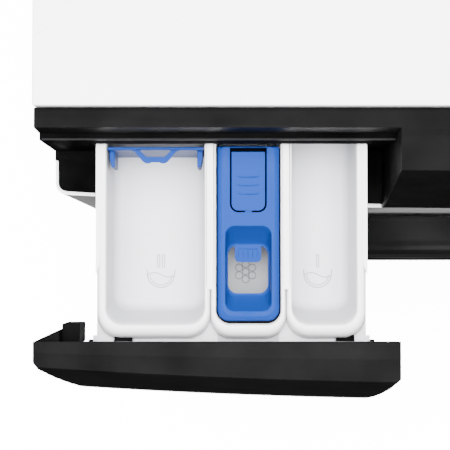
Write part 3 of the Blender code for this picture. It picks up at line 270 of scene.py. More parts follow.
def perforated_steel(axis_height):
    """The drum's sheet: rows of small holes round it, and brushed between them."""
    made = Recipe("perforated_steel", (0.60, 0.60, 0.61), 0.27, 1.0)
    parts = made.node("ShaderNodeSeparateXYZ", {}, made.place)
    depth = made.node("ShaderNodeSeparateXYZ", {}, made.place, output="Y")
    up = made.node("ShaderNodeSeparateXYZ", {}, made.place, output="Z") - axis_height
    turn = made.node("ShaderNodeMath", {"operation": "ARCTAN2"}, up, parts)
    across = made.node("ShaderNodeCombineXYZ", {}, turn * DRUM_RADIUS, depth, 0.0)
    cells = made.node(
        "ShaderNodeTexVoronoi",
        {"voronoi_dimensions": "2D"},
        Vector=across,
        Scale=80.0,
        Randomness=0.0,
    )
    hole = made.node("ShaderNodeMath", {"operation": "LESS_THAN"}, cells, 0.22)
    # The holes are painted near black: painted shade for the dark seen through them.
    made.feed("Base Color", made.blend(hole, (0.60, 0.60, 0.61), (0.02, 0.02, 0.02)))
    made.feed("Metallic", 1.0 - hole)
    made.feed("Roughness", hole * 0.5 + 0.27)
    made.bump(hole * -1.0, 0.5, 0.0008)
    return made.material


def glass(name, colour, alpha, roughness=0.03):
    """Thin glass shown by its gloss, with a few wipe marks."""
    made = Recipe(name, colour, roughness, Alpha=alpha, IOR=1.5, Coat_Weight=0.5)
    marks = made.noise(7.0, 6.0, place=made.stretched(1.0, 1.0, 4.0))
    made.feed("Roughness", spread(made, marks, roughness, roughness + 0.09))
    made.bump(made.noise(60.0, 2.0), 0.02, 0.0003)
    return made.material


def cast(name, colour, roughness, metallic, grit=180.0):
    """A rough casting: pitted, uneven in tone."""
    made = Recipe(name, colour, roughness, metallic)
    pits = made.noise(grit, 8.0)
    made.feed("Roughness", spread(made, pits, roughness - 0.08, roughness + 0.08))
    darker = tuple(c * 0.72 for c in colour)
    made.feed("Base Color", made.blend(spread(made, pits, 0.0, 1.0), colour, darker))
    made.bump(pits, 0.45, 0.0012)
    return made.material


def rubber(name, colour):
    """Moulded rubber: matt, with a bloom and fine flow lines."""
    made = Recipe(name, colour, 0.62, Specular_IOR_Level=0.35)
    bloom = made.noise(22.0, 5.0)
    made.feed("Roughness", spread(made, bloom, 0.52, 0.74))
    chalky = tuple(min(1.0, c * 1.25 + 0.01) for c in colour)
    made.feed("Base Color", made.blend(spread(made, bloom, 0.0, 1.0), colour, chalky))
    made.bump(made.noise(520.0, 3.0), 0.15, 0.0004)
    return made.material


def laminate():
    """White melamine: a very fine pebble in its surface."""
    made = Recipe("worktop_white", (0.86, 0.86, 0.86), 0.30)
    pebble = made.node("ShaderNodeTexVoronoi", {}, Vector=made.place, Scale=1400.0)
    made.feed("Roughness", spread(made, made.noise(11.0, 4.0), 0.26, 0.36))
    tone = spread(made, pebble, 0.0, 1.0)
    made.feed("Base Color", made.blend(tone, (0.86, 0.86, 0.86), (0.84, 0.84, 0.845)))
    made.bump(pebble, 0.05, 0.0002)
    return made.material


ENAMEL = painted("white_enamel", (0.82, 0.82, 0.82), 0.26)
WORKTOP = laminate()
BLACK = moulded(
    "fascia_black", (0.0024, 0.0024, 0.0025), 0.46, grain=1500.0, relief=0.03, Specular_IOR_Level=0.05
)
# Painted highlight: a lighter, glossier black for the ledge's bead, for the light caught on the ledge's
# rounded edge.
BEAD_HIGHLIGHT = moulded("bead_painted_highlight", (0.013, 0.013, 0.0135), 0.30, relief=0.03, Specular_IOR_Level=0.4)
# Black for dark parts, also laid on as painted shade in the fascia's recess, the mouth frame and the
# gaps round the softener insert.
DARK = moulded("dark_moulding", (0.0007, 0.0007, 0.00075), 0.55, grain=700.0, Specular_IOR_Level=0.03)
DOOR_BLACK = moulded(
    "door_black", (0.0046, 0.0046, 0.0047), 0.24, grain=500.0, relief=0.02, Specular_IOR_Level=0.12
)
WHITE = tray_plastic("tray_white")
# Painted shade: the raised marks are painted darker than the cup floor, for the shade along their
# relief, and darker still in the softener cup under its insert.
MARK_SHADE = moulded("embossed_painted_shade", (0.24, 0.25, 0.27), 0.34, relief=0.05, tint=0.02)
MARK_SHADE_UNDER_INSERT = moulded("embossed_shade", (0.12, 0.123, 0.132), 0.34, relief=0.05, tint=0.02)
PANEL = moulded("panel_white", (0.80, 0.80, 0.80), 0.35, relief=0.05, tint=0.02)
BLUE = moulded(
    "insert_blue", (0.0048, 0.0255, 0.1460), 0.36, relief=0.04, tint=0.004, Specular_IOR_Level=0.10
)
GREY = moulded("tub_grey", (0.40, 0.41, 0.43), 0.50, grain=260.0, relief=0.25)
SILVER = metal("bright_trim", (0.72, 0.73, 0.74), 0.34, along=(0.05, 1.0, 1.0), scale=900.0)
# Metallic lowered to 0.6 so the diffuse part shows bright under the overhead lamp; on the drawer's strip
# this is part of a painted highlight.
SILVER.node_tree.nodes["Principled BSDF"].inputs["Metallic"].default_value = 0.6
ZINC = zinc_plated()
STEEL = perforated_steel((DOOR_LOW[2] + DOOR_HIGH[2]) / 2)
ALUMINIUM = cast("cast_aluminium", (0.58, 0.58, 0.60), 0.42, 1.0)
CONCRETE = cast("weight_concrete", (0.42, 0.41, 0.39), 0.88, 0.0, grit=90.0)
RUBBER = rubber("seal_grey", (0.26, 0.27, 0.28))
BELT = rubber("belt_black", (0.02, 0.02, 0.021))
SMOKED = glass("smoked_cover", (0.004, 0.004, 0.005), 0.85)
CLEAR = glass("clear_bowl", (0.55, 0.60, 0.60), 0.30)


# ---- making pieces -----------------------------------------------------------------------------
def finish_mesh(name, bm, finish, sharp=35.0, doubles=0.00001):
    """Turns a bmesh into a piece at the origin, smooth up to an angle."""
    bmesh.ops.remove_doubles(bm, verts=bm.verts[:], dist=doubles)
    bmesh.ops.recalc_face_normals(bm, faces=bm.faces[:])
    mesh = bpy.data.meshes.new(name)
    bm.to_mesh(mesh)
    bm.free()
    mesh.shade_smooth()
    mesh.set_sharp_from_angle(angle=math.radians(sharp))
    made = bpy.data.objects.new(name, mesh)
    bpy.context.scene.collection.objects.link(made)
    made.data.materials.append(finish)
    return made


def soften(piece, width, segments=3, angle=35.0):
    bevel = piece.modifiers.new("soft_edges", "BEVEL")
    bevel.width = width
    bevel.segments = segments
    bevel.limit_method = "ANGLE"
    bevel.angle_limit = math.radians(angle)
    bevel.harden_normals = True
    return piece


def refined(node, finish, body, width=0.0006, sharp=35.0):
    """A copy of a frame node with its points merged, smooth faces and softened edges."""
    bm = bmesh.new()
    bm.from_mesh(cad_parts[node].data)
    bmesh.ops.remove_doubles(bm, verts=bm.verts[:], dist=0.000005)
    bmesh.ops.dissolve_limit(
        bm, angle_limit=math.radians(0.5), verts=bm.verts[:], edges=bm.edges[:]
    )
    mesh = bpy.data.meshes.new(node + "_skin")
    bm.to_mesh(mesh)
    bm.free()
    mesh.shade_smooth()
    mesh.set_sharp_from_angle(angle=math.radians(sharp))
    made = bpy.data.objects.new(node + "_skin", mesh)
    bpy.context.scene.collection.objects.link(made)
    made.data.materials.append(finish)
    if width:
        soften(made, width, 2, sharp)
    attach(made, body)
    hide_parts(node)
    return made


def arc(cx, cy, radius, start, end, count=6):
    turns = [math.radians(start + (end - start) * i / count) for i in range(count + 1)]
    return [(cx + radius * math.cos(a), cy + radius * math.sin(a)) for a in turns]


def rounded(low, high, radii, count=6):
    """A rectangle with a radius for each corner: low left, low right, high right, high left."""
    (x0, y0), (x1, y1) = low, high
    a, b, c, d = radii
    return (
        arc(x0 + a, y0 + a, a, 180, 270, count)
        + arc(x1 - b, y0 + b, b, 270, 360, count)
        + arc(x1 - c, y1 - c, c, 0, 90, count)
        + arc(x0 + d, y1 - d, d, 90, 180, count)
    )


def loft(bm, rings, cap_first=True, cap_last=True):
    """Skins rings of equally many points, each drawn out of the one before it."""
    verts = first = [bm.verts.new(point) for point in rings[0]]
    edges = [bm.edges.new((verts[i - 1], verts[i])) for i in range(len(verts))]
    for ring in rings[1:]:
        drawn = bmesh.ops.extrude_edge_only(bm, edges=edges)["geom"]
        fresh = {item for item in drawn if isinstance(item, bmesh.types.BMVert)}
        edges = [e for e in drawn if isinstance(e, bmesh.types.BMEdge) and fresh.issuperset(e.verts)]
        following = []
        for vert, point in zip(verts, ring):
            partner = next(e.other_vert(vert) for e in vert.link_edges if e.other_vert(vert) in fresh)
            partner.co = point
            following.append(partner)
        verts = following
    if cap_first:
        bm.faces.new(first)
    if cap_last:
        bm.faces.new(verts)
    return bm


def flat_plate(bm, outlines, z_low, z_high):
    """A plate of any outline with holes, filled and lifted."""
    curve = bpy.data.curves.new("outline", "CURVE")
    curve.dimensions = "2D"
    curve.fill_mode = "BOTH"
    curve.extrude = (z_high - z_low) / 2
    for outline in outlines:
        spline = curve.splines.new("POLY")
        spline.points.add(len(outline) - 1)
        spline.use_cyclic_u = True
        for point, (x, y) in zip(spline.points, outline):
            point.co = (x, y, 0.0, 1.0)
    holder = bpy.data.objects.new("outline", curve)
    bpy.context.scene.collection.objects.link(holder)
    bpy.context.view_layer.update()
    shown = holder.evaluated_get(bpy.context.evaluated_depsgraph_get())
    mesh = bpy.data.meshes.new_from_object(shown)
    mesh.transform(Matrix.Translation((0, 0, (z_low + z_high) / 2)))
    bm.from_mesh(mesh)
    bpy.data.objects.remove(holder, do_unlink=True)
    bpy.data.meshes.remove(mesh)
    return bm


def thread(bm, points, radius, sides=8, cyclic=False):
    """A fine raised line along points."""
    curve = bpy.data.curves.new("line", "CURVE")
    curve.dimensions = "3D"
    curve.bevel_depth = radius
    curve.bevel_resolution = max(0, sides // 2 - 2)
    curve.use_fill_caps = not cyclic
    spline = curve.splines.new("POLY")
    spline.points.add(len(points) - 1)
    spline.use_cyclic_u = cyclic
    for point, where in zip(spline.points, points):
        point.co = (*where, 1.0)
    holder = bpy.data.objects.new("line", curve)
    bpy.context.scene.collection.objects.link(holder)
    bpy.context.view_layer.update()
    shown = holder.evaluated_get(bpy.context.evaluated_depsgraph_get())
    mesh = bpy.data.meshes.new_from_object(shown)
    bm.from_mesh(mesh)
    bpy.data.objects.remove(holder, do_unlink=True)
    bpy.data.meshes.remove(mesh)
    return bm


def smooth_step(value, low, high):
    share = min(1.0, max(0.0, (value - low) / (high - low)))
    return share * share * (3 - 2 * share)


# ---- dispenser tray ----------------------------------------------------------------------------
TRAY_FLOOR = TRAY_LOW[2] + 0.002
COLLAR_FRONT = pulled(0.0445)
BACK_INSIDE = TRAY_HIGH[1] - 0.0045


def cup_rings(cup, corner, front, back):
    """Rings from a cup's floor up over its rim: floor fillet, drafted wall, rolled edge."""
    low_x, high_x = cup
    floor = TRAY_FLOOR
    deep = RIM - floor
    steps = (
        (0.0000, 0.0080, 0.0160),
        (0.0003, 0.0050, 0.0125),
        (0.0016, 0.0022, 0.0098),
        (0.0040, 0.0008, 0.0082),
        (0.0070, 0.0004, 0.0074),
        (0.5 * deep, 0.0002, 0.0040),
        (deep - 0.0030, 0.0000, 0.0006),
        (deep - 0.0010, -0.0001, 0.0001),
        (deep - 0.0003, -0.0005, -0.0004),
        (deep, -0.0012, -0.0012),
    )
    rings = []
    for up, side, forward in steps:
        radius = max(0.003, corner + 0.0008 - side * 0.4)
        low = (low_x + side, front + forward)
        high = (high_x - side, back - side)
        line = rounded(low, high, (radius, radius, 0.004, 0.004), 10)
        rings.append([(x, y, floor + up) for x, y in line])
    return rings


def collar_rings(cup, cell, corner, front, back):
    """Rings from a cup's rim out to its share of the deck, falling away round its front."""
    rings = []
    fall = 0.0115
    for share, drop in ((0.10, 0.0), (0.32, 0.02), (0.55, 0.12), (0.78, 0.38), (0.93, 0.70), (1.0, 1.0)):
        low = (
            cup[0] - 0.0012 + (cell[0] - cup[0] + 0.0012) * share,
            front - 0.0012 + (COLLAR_FRONT - front + 0.0012) * share,
        )
        high = (
            cup[1] + 0.0012 + (cell[1] - cup[1] - 0.0012) * share,
            back + 0.0012 + (TRAY_HIGH[1] - back - 0.0012) * share,
        )
        radius = corner + 0.0020 + 0.0035 * share
        line = rounded(low, high, (radius, radius, 0.004, 0.004), 10)
        ring = []
        for x, y in line:
            near = 1 - smooth_step(y, pulled(0.0545), pulled(0.0800))
            ring.append((x, y, RIM - fall * drop * near))
        rings.append(ring)
    rings.append([(x, y, RIM - fall - 0.002) for x, y in line])
    return rings


def bowl_mark(bm, x, y, z, bars):
    """A dosing mark: a bowl with a wave in it, under one or two strokes."""
    size = 0.0096
    bowl = [(x + px, y + py, z) for px, py in arc(0.0, 0.0, size, 180, 360, 20)]
    thread(bm, [(x - size * 1.02, y + 0.003, z)] + bowl + [(x + size * 1.02, y + 0.003, z)], 0.00036)
    thread(bm, [(x + px, y + py, z) for px, py in arc(0.0, 0.0, size - 0.0017, 185, 355, 20)], 0.00030)
    wave = []
    for i in range(17):
        share = i / 16
        wave.append((x - size + 2 * size * share, y - 0.0008 + 0.0016 * math.sin(6.0 * share), z))
    thread(bm, wave, 0.00030)
    for i in range(bars):
        middle = x + (i - (bars - 1) / 2) * 0.0034
        low, high = (middle - 0.0008, y + 0.0045), (middle + 0.0008, y + 0.0135)
        outline = rounded(low, high, (0.0008,) * 4, 4)
        thread(bm, [(px, py, z) for px, py in outline], 0.00030, cyclic=True)


def flower_mark(bm, x, y, z):
    """The softener's mark: six petals round a ring."""
    for i in range(6):
        turn = math.radians(60 * i + 30)
        cx, cy = x + 0.0054 * math.cos(turn), y + 0.0054 * math.sin(turn)
        thread(bm, [(px, py, z) for px, py in arc(cx, cy, 0.0025, 0, 345, 15)], 0.00032, cyclic=True)
    thread(bm, [(px, py, z) for px, py in arc(x, y, 0.0022, 0, 342, 12)], 0.00032, cyclic=True)


def tray():
    bm = bmesh.new()
    left, right = TRAY_LOW[0], TRAY_HIGH[0]
    first_bar = (CUP_WASH[1] + CUP_SOFTENER[0]) / 2
    second_bar = (CUP_SOFTENER[1] + CUP_PREWASH[0]) / 2
    front = pulled(CUP_FRONT)
    cups = (
        (CUP_WASH, (left + 0.0004, first_bar), 0.0100),
        (CUP_SOFTENER, (first_bar, second_bar), 0.0085),
        (CUP_PREWASH, (second_bar, right - 0.0004), 0.0100),
    )
    for cup, cell, corner in cups:
        cup_shape = cup_rings(cup, corner, front, BACK_INSIDE)
        collar = collar_rings(cup, cell, corner, front, BACK_INSIDE)
        loft(bm, cup_shape + collar, cap_first=True, cap_last=False)
    ledge = RIM - 0.0125
    shell = []
    base = TRAY_LOW[2]
    for z, inset in ((base, 0.003), (base + 0.003, 0.0005), (ledge - 0.0006, 0.0), (ledge, 0.0006)):
        low, high = (left + inset, pulled(0.0404) + inset), (right - inset, TRAY_HIGH[1] - inset)
        shell.append([(x, y, z) for x, y in rounded(low, high, (0.003, 0.003, 0.002, 0.002))])
    loft(bm, shell, cap_last=False)
    holes = []
    for cup, cell, corner in cups:
        low = (cell[0] + 0.0004, COLLAR_FRONT + 0.0004)
        high = (cell[1] - 0.0004, TRAY_HIGH[1] - 0.002)
        holes.append(rounded(low, high, (corner + 0.0055, corner + 0.0055, 0.004, 0.004), 10))
    low, high = (left + 0.0006, pulled(0.0404) + 0.0006), (right - 0.0006, TRAY_HIGH[1] - 0.0006)
    flat_plate(bm, [rounded(low, high, (0.003, 0.003, 0.002, 0.002))] + holes, ledge, ledge)
    for sign, edge in ((1, left), (-1, right)):
        rail_front = pulled(0.0870)
        inner = edge + sign * 0.0034
        rail = [(edge + sign * 0.0003, TRAY_HIGH[1] - 0.001), (edge + sign * 0.0003, rail_front)]
        rail += [(inner - sign * 0.0008, rail_front + 0.006), (inner, rail_front + 0.010)]
        rail += [(inner, TRAY_HIGH[1] - 0.001)]
        flat_plate(bm, [rail], RIM - 0.001, RIM + 0.0004)
    for bar in (first_bar, second_bar):
        low, high = (bar - 0.0026, pulled(0.0775)), (bar + 0.0026, TRAY_HIGH[1] - 0.001)
        flat_plate(bm, [rounded(low, high, (0.0026, 0.0026, 0.0002, 0.0002))], RIM - 0.002, RIM)
    made = finish_mesh("tray_moulding", bm, WHITE, sharp=50.0)
    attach(made, "drawer")
    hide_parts("dispenser_tray")
    bm = bmesh.new()
    mark_z = TRAY_FLOOR + 0.0001
    wash_middle = sum(CUP_WASH) / 2
    bowl_mark(bm, wash_middle + 0.0010, pulled(0.0875), mark_z, 2)
    bowl_mark(bm, sum(CUP_PREWASH) / 2 - 0.0005, pulled(0.0875), mark_z, 1)
    made = finish_mesh("dosing_marks", bm, MARK_SHADE)
    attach(made, "drawer")
    bm = bmesh.new()
    flower_mark(bm, sum(CUP_SOFTENER) / 2 - 0.0010, pulled(0.0890), mark_z)
    made = finish_mesh("softener_mark", bm, MARK_SHADE_UNDER_INSERT)
    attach(made, "drawer")


tray()


# ---- softener insert, its tongue, and the liquid insert ----------------------------------------
def softener_insert():
    top = INSERT_HIGH[2]
    low, high = INSERT_LOW, INSERT_HIGH
    dish_low = (low[0] + 0.0050, pulled(0.0627))
    dish_high = (high[0] - 0.0050, pulled(0.1195))
    bm = bmesh.new()
    rim = 0.0036
    skirt = []
    corners = (0.0078, 0.0078, 0.0015, 0.0015)
    for down, inset in (
        (0.0, rim),
        (0.0003, 0.0028),
        (0.0009, 0.0018),
        (0.0017, 0.0008),
        (0.0026, 0.0002),
        (0.0036, 0.0),
        (0.0240, 0.0006),
        (0.0285, 0.0012),
    ):
        near, far = (low[0] + inset, low[1] + inset), (high[0] - inset, high[1] - min(inset, 0.0009))
        skirt.append([(x, y, top - down) for x, y in rounded(near, far, corners, 10)])
    loft(bm, skirt, cap_first=False, cap_last=False)
    outer = rounded((low[0] + rim, low[1] + rim), (high[0] - rim, high[1] - 0.0009), corners, 10)
    slot = 0.0012
    hole = rounded(
        (TONGUE_LOW[0] - slot, TONGUE_LOW[1] - slot),
        (TONGUE_HIGH[0] + slot, high[1] - 0.0012),
        (0.0056, 0.0056, 0.0004, 0.0004),
        8,
    )
    dish_line = rounded(dish_low, dish_high, (0.0062,) * 4, 8)
    flat_plate(bm, [outer, hole, dish_line], top, top)
    wall = [[(x, y, top - down) for x, y in hole] for down in (0.0, 0.0030)]
    loft(bm, wall, cap_first=False, cap_last=False)

    rings = []
    for down, side, back, front in (
        (0.0000, 0.0000, 0.0000, 0.0000),
        (0.0002, 0.0003, 0.0003, 0.0003),
        (0.0009, 0.0006, 0.0007, 0.0007),
        (0.0040, 0.0007, 0.0022, 0.0020),
        (0.0120, 0.0008, 0.0088, 0.0078),
        (0.0158, 0.0009, 0.0112, 0.0100),
        (0.0166, 0.0014, 0.0121, 0.0109),
        (0.0168, 0.0022, 0.0130, 0.0118),
        (0.0184, 0.0022, 0.0130, 0.0118),
    ):
        line = rounded(
            (dish_low[0] + side, dish_low[1] + front),
            (dish_high[0] - side, dish_high[1] - back),
            (0.0060,) * 4,
            8,
        )
        rings.append([(x, y, top - down) for x, y in line])
    loft(bm, rings, cap_first=False, cap_last=False)
    made = finish_mesh("softener_insert_moulding", bm, BLUE, sharp=40.0)
    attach(made, "softener_insert_body")
    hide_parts("softener_insert")

    # Painted shadow: a dark ring down in the gap between the insert and its cup, and a dark sheet
    # beneath the tongue's slot, both where shade falls.
    gap_shadow = bmesh.new()
    seat = rounded(
        (CUP_SOFTENER[0] + 0.0002, pulled(CUP_FRONT) + 0.0004),
        (CUP_SOFTENER[1] - 0.0002, high[1] - 0.0004),
        (0.0084, 0.0084, 0.002, 0.002),
        10,
    )
    inset = 0.0008
    inside = rounded((low[0] + inset, low[1] + inset), (high[0] - inset, high[1] - inset), corners, 10)
    flat_plate(gap_shadow, [seat, inside], top - 0.0046, top - 0.0030)
    under = rounded(
        (hole[0][0] - 0.0004, TONGUE_LOW[1] - 0.0022),
        (TONGUE_HIGH[0] + 0.0016, high[1] - 0.001),
        (0.006, 0.006, 0.001, 0.001),
    )
    flat_plate(gap_shadow, [under], top - 0.0112, top - 0.0104)
    gap_shadow_piece = finish_mesh("insert_gap_shadow", gap_shadow, DARK)
    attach(gap_shadow_piece, "softener_insert_body")

    tab = bmesh.new()
    middle = (dish_low[0] + dish_high[0]) / 2
    tab_back = dish_high[1] - 0.0122
    outline = rounded(
        (middle - 0.0088, tab_back - 0.0118), (middle + 0.0088, tab_back), (0.003, 0.003, 0.0002, 0.0002)
    )
    flat_plate(tab, [outline], top - 0.0182, top - 0.0160)
    level = finish_mesh("softener_level_tab", tab, BLUE, sharp=40.0)
    soften(level, 0.0004, 3)
    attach(level, "softener_insert_body")
    marks = bmesh.new()
    tab_top = top - 0.0160
    for i in range(5):
        x = middle + (i - 2) * 0.0032
        thread(marks, [(x, tab_back - 0.0086, tab_top), (x, tab_back - 0.0044, tab_top)], 0.0003)
    bar = [(middle - 0.0068, tab_back - 0.0030, tab_top), (middle + 0.0068, tab_back - 0.0030, tab_top)]
    thread(marks, bar, 0.0003)
    line = finish_mesh("softener_level_marks", marks, BLUE)
    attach(line, "softener_insert_body")

    bridge = bmesh.new()
    low_y = TONGUE_LOW[1]
    ends = (middle - 0.0022, low_y - slot - 0.0004), (middle + 0.0022, low_y + 0.0004)
    flat_plate(bridge, [rounded(*ends, (0.0002,) * 4, 2)], top - 0.0016, top - 0.0008)
    hinge = finish_mesh("tongue_bridge", bridge, BLUE)
    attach(hinge, "softener_insert_body")


def release_tongue():
    top = INSERT_HIGH[2] - 0.0002
    low, high = TONGUE_LOW, TONGUE_HIGH
    bm = bmesh.new()
    outline = rounded((low[0], low[1]), (high[0], high[1]), (0.0046, 0.0046, 0.0004, 0.0004), 8)
    flat_plate(bm, [outline], top - 0.0022, top)
    made = finish_mesh("release_tongue_moulding", bm, BLUE, sharp=40.0)
    soften(made, 0.00045, 3)
    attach(made, "tongue")
    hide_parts("release_tongue")
    ridges = bmesh.new()
    middle = (low[0] + high[0]) / 2
    for i in range(3):
        y = pulled(0.1524) - 0.0056 * i
        half = 0.0070
        line = []
        for step in range(21):
            share = step / 10 - 1
            line.append((middle + half * share, y - 0.0010 * (1 - share**6), top + 0.00005))
        thread(ridges, line, 0.00042)
    made = finish_mesh("tongue_grip_ridges", ridges, BLUE)
    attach(made, "tongue")


def liquid_insert():
    low, high = LIQUID_LOW, LIQUID_HIGH
    middle = (low[0] + high[0]) / 2
    plate_y = high[1]
    top = high[2]
    bm = bmesh.new()
    bmesh.ops.create_cube(bm, size=1.0)
    size = (high[0] - low[0], 0.0020, top - 0.0006 - low[2])
    centre = (middle, plate_y - 0.0011, (top - 0.0006 + low[2]) / 2)
    for vert in bm.verts:
        vert.co = Vector(vert.co[i] * size[i] + centre[i] for i in range(3))
    for sign in (-1, 1):
        outer = middle + sign * (size[0] / 2 - 0.0006)
        inner = outer - sign * 0.0036
        leg = [
            (outer - sign * 0.0001, plate_y - 0.001),
            (outer - sign * 0.0001, plate_y - 0.0065),
            (inner + sign * 0.0022, plate_y - 0.0128),
            (inner, plate_y - 0.0128),
            (inner, plate_y - 0.001),
        ]
        flat_plate(bm, [leg], RIM - 0.034, RIM - 0.0070)
    made = finish_mesh("liquid_insert_moulding", bm, BLUE, sharp=30.0)
    soften(made, 0.0005, 3, 30.0)
    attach(made, "liquid_insert_body")
    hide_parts("liquid_insert")
    pull = bmesh.new()
    y = plate_y - 0.0012
    outer = [(-0.0262, 0.0004), (-0.0262, -0.0006), (-0.0166, -0.0006), (-0.0138, -0.0018)]
    outer += [(-0.0084, -0.0082), (-0.0064, -0.0095), (-0.0034, -0.0095), (-0.0030, -0.0088)]
    outer += [(-x, v) for x, v in outer[::-1]]
    inner = [(-0.0106, -0.0008), (-0.0098, -0.0014), (-0.0068, -0.0048), (-0.0058, -0.0055)]
    inner += [(-x, v) for x, v in inner[::-1]]
    lines = [[(middle + px, y + py) for px, py in line] for line in (outer, inner)]
    flat_plate(pull, lines, top - 0.0022, top - 0.0001)
    handle = finish_mesh("liquid_insert_pull", pull, BLUE, sharp=50.0)
    soften(handle, 0.0005, 3, 50.0)
    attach(handle, "liquid_insert_body")


softener_insert()
release_tongue()
liquid_insert()


# ---- drawer front ------------------------------------------------------------------------------
def drawer_face():
    """A hollow bulging face with rounded ends, deeper at the bottom than at the top."""
    left, right = FACE_LOW[0], FACE_HIGH[0]
    bottom = FACE_LOW[2]
    back_top, back_edge, back_low = pulled(0.0454), pulled(0.0443), pulled(0.0383)
    edge_roll = 0.0011
    stations = []
    count = 44
    for i in range(count + 1):
        share = i / count
        eased = 0.5 - 0.5 * math.cos(math.pi * share)
        stations.append(left + (right - left) * (0.55 * eased + 0.45 * share))
    rings = []
    for x in stations:
        ring = [(x, back_top, FASCIA_TOP - 0.0003), (x, back_top - 0.0006, FASCIA_TOP)]
        downs = [0.0, 0.0003, 0.001, 0.002, 0.0035]
        downs += [0.006 + (FASCIA_HEIGHT - 0.0115) * k / 16 for k in range(17)]
        downs += [FASCIA_HEIGHT - 0.0042, FASCIA_HEIGHT - 0.0034, FASCIA_HEIGHT - 0.0030]
        for k, down in enumerate(downs):
            roll = edge_roll * max(0.0, 1 - down / 0.0035) ** 2
            base = max(0.0, (down - FASCIA_HEIGHT + 0.0045) / 0.0015) ** 2 * 0.0008
            share = down / FASCIA_HEIGHT
            turn_left = 0.0030 + 0.0190 * smooth_step(share, 0.04, 0.80)
            turn_right = 0.0022 + 0.0100 * smooth_step(share, 0.04, 0.80)
            pull_back = 0.0
            for near, turn in ((x - left, turn_left), (right - x, turn_right)):
                if near < turn:
                    pull_back += turn - math.sqrt(max(0.0, turn * turn - (turn - near) ** 2))
            y = pulled(face_lean(down)) + bow(x) + roll + base + pull_back
            ring.append((x, min(y, back_low - 0.0015), FASCIA_TOP - down))
        ring.append((x, back_low - 0.0003, bottom))
        ring.append((x, back_low, bottom + 0.0006))
        ring.append((x, back_low, FASCIA_TOP - LIP_DEEP + 0.0014))
        ring.append((x, back_edge, FASCIA_TOP - LIP_DEEP + 0.0020))
        rings.append(ring)
    bm = bmesh.new()
    loft(bm, rings)
    made = finish_mesh("drawer_face_moulding", bm, BLACK, sharp=28.0)
    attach(made, "drawer")
    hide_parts("drawer_front")

    # The silver strip along the face's bottom: partly a real silver strip, partly a painted highlight
    # for the glint on the bottom bevel.
    line = bmesh.new()
    down = 0.0975
    stations = [left + 0.0165 + (right - left - 0.0245) * i / 60 for i in range(61)]
    rings = []
    for x in stations:
        y = pulled(face_lean(down)) + bow(x)
        for near, turn in ((x - left, 0.0216), (right - x, 0.0120)):
            if near < turn:
                y += turn - math.sqrt(max(0.0, turn * turn - (turn - near) ** 2))
        z = FASCIA_TOP - down
        front, rear = y - 0.0007, y + 0.001
        section = (front, z + 0.0007), (rear, z + 0.0009), (rear, z - 0.0009), (front, z - 0.0007)
        rings.append([(x, *point) for point in section])
    loft(line, rings)
    trim_and_glint = finish_mesh("drawer_trim_and_glint_strip", line, SILVER, sharp=50.0)
    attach(trim_and_glint, "drawer")
    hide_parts("drawer_trim")


def drawer_fittings():
    """The moulded fin and tab behind the face's left end, the tray's flange, and the two clips."""
    bm = bmesh.new()
    left = FACE_LOW[0]
    back = pulled(0.0450)
    fin = [(left + 0.0002, back - 0.001), (left + 0.0005, back + 0.0004), (left + 0.0150, back + 0.0072)]
    fin += [(left + 0.0158, back + 0.0040), (left + 0.0158, back - 0.001)]
    flat_plate(bm, [fin], FASCIA_TOP - 0.052, FASCIA_TOP - 0.004)
    tab = rounded((left + 0.0158, back - 0.002), (left + 0.0273, back + 0.0108), (0.0004,) * 4, 2)
    flat_plate(bm, [tab], FASCIA_TOP - 0.052, FASCIA_TOP - 0.020)
    made = finish_mesh("drawer_face_fins", bm, DARK)
    soften(made, 0.0004, 2)
    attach(made, "drawer")

    bm = bmesh.new()
    ledge = RIM - 0.0125
    ends = TRAY_LOW[0] - FLANGE_PAST, TRAY_HIGH[0] + FLANGE_PAST
    flange = rounded((ends[0], pulled(0.0406)), (ends[1], pulled(0.0468)), (0.0004,) * 4, 2)
    flat_plate(bm, [flange], ledge - 0.0004, ledge + 0.0010)
    made = finish_mesh("tray_flange", bm, WHITE)
    soften(made, 0.0003, 2)
    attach(made, "drawer")
    bm = bmesh.new()
    for low, high in ((ends[0] - 0.0030, ends[0] + 0.0002), (ends[1] - 0.0002, ends[1] + 0.0030)):
        cap = rounded((low, pulled(0.0408)), (high, pulled(0.0440)), (0.0005,) * 4, 3)
        flat_plate(bm, [cap], ledge - 0.001, ledge + 0.0016)
    made = finish_mesh("flange_end_caps", bm, DARK)
    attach(made, "drawer")
    for side, x in CLIPS:
        bm = bmesh.new()
        clip = [(x - 0.0064, pulled(0.0406)), (x + 0.0064, pulled(0.0406)), (x + 0.0058, pulled(0.0488))]
        clip += [(x - 0.0052, pulled(0.0488))]
        flat_plate(bm, [clip], ledge + 0.0008, ledge + 0.0062)
        made = finish_mesh(f"{side}_clip_moulding", bm, DARK)
        soften(made, 0.0005, 2)
        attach(made, "drawer")
        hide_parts(f"drawer_clip_{side}")


drawer_face()
drawer_fittings()


def mouth_frame():
    """The dark frame at the top of the tray's mouth, in the darker black as painted shade under the lip,
    and the glossy bead on the ledge above it, in a lighter black as a painted highlight.
    """
    bm = bmesh.new()
    low, high = TRAY_LOW[0] - 0.0026, TRAY_HIGH[0] + 0.0026
    section = (0.0388, 0.0328), (0.0392, 0.0308), (0.0406, 0.0288), (0.0412, 0.0328)
    line = [(at(back), FASCIA_TOP - down) for back, down in section]
    loft(bm, [[(x, y, z) for y, z in line] for x in (low, high)])
    made = finish_mesh("mouth_frame", bm, DARK)
    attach(made, "cabinet")
    bm = bmesh.new()
    z = FASCIA_TOP - LIP_DEEP
    ends = -HALF + 0.0016, RECESS_RIGHT - 0.0004
    thread(bm, [(ends[0], at(0.0411), z - 0.0001), (ends[1], at(0.0411), z - 0.0001)], 0.0007)
    made = finish_mesh("ledge_bead", bm, BEAD_HIGHLIGHT)
    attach(made, "cabinet")


mouth_frame()


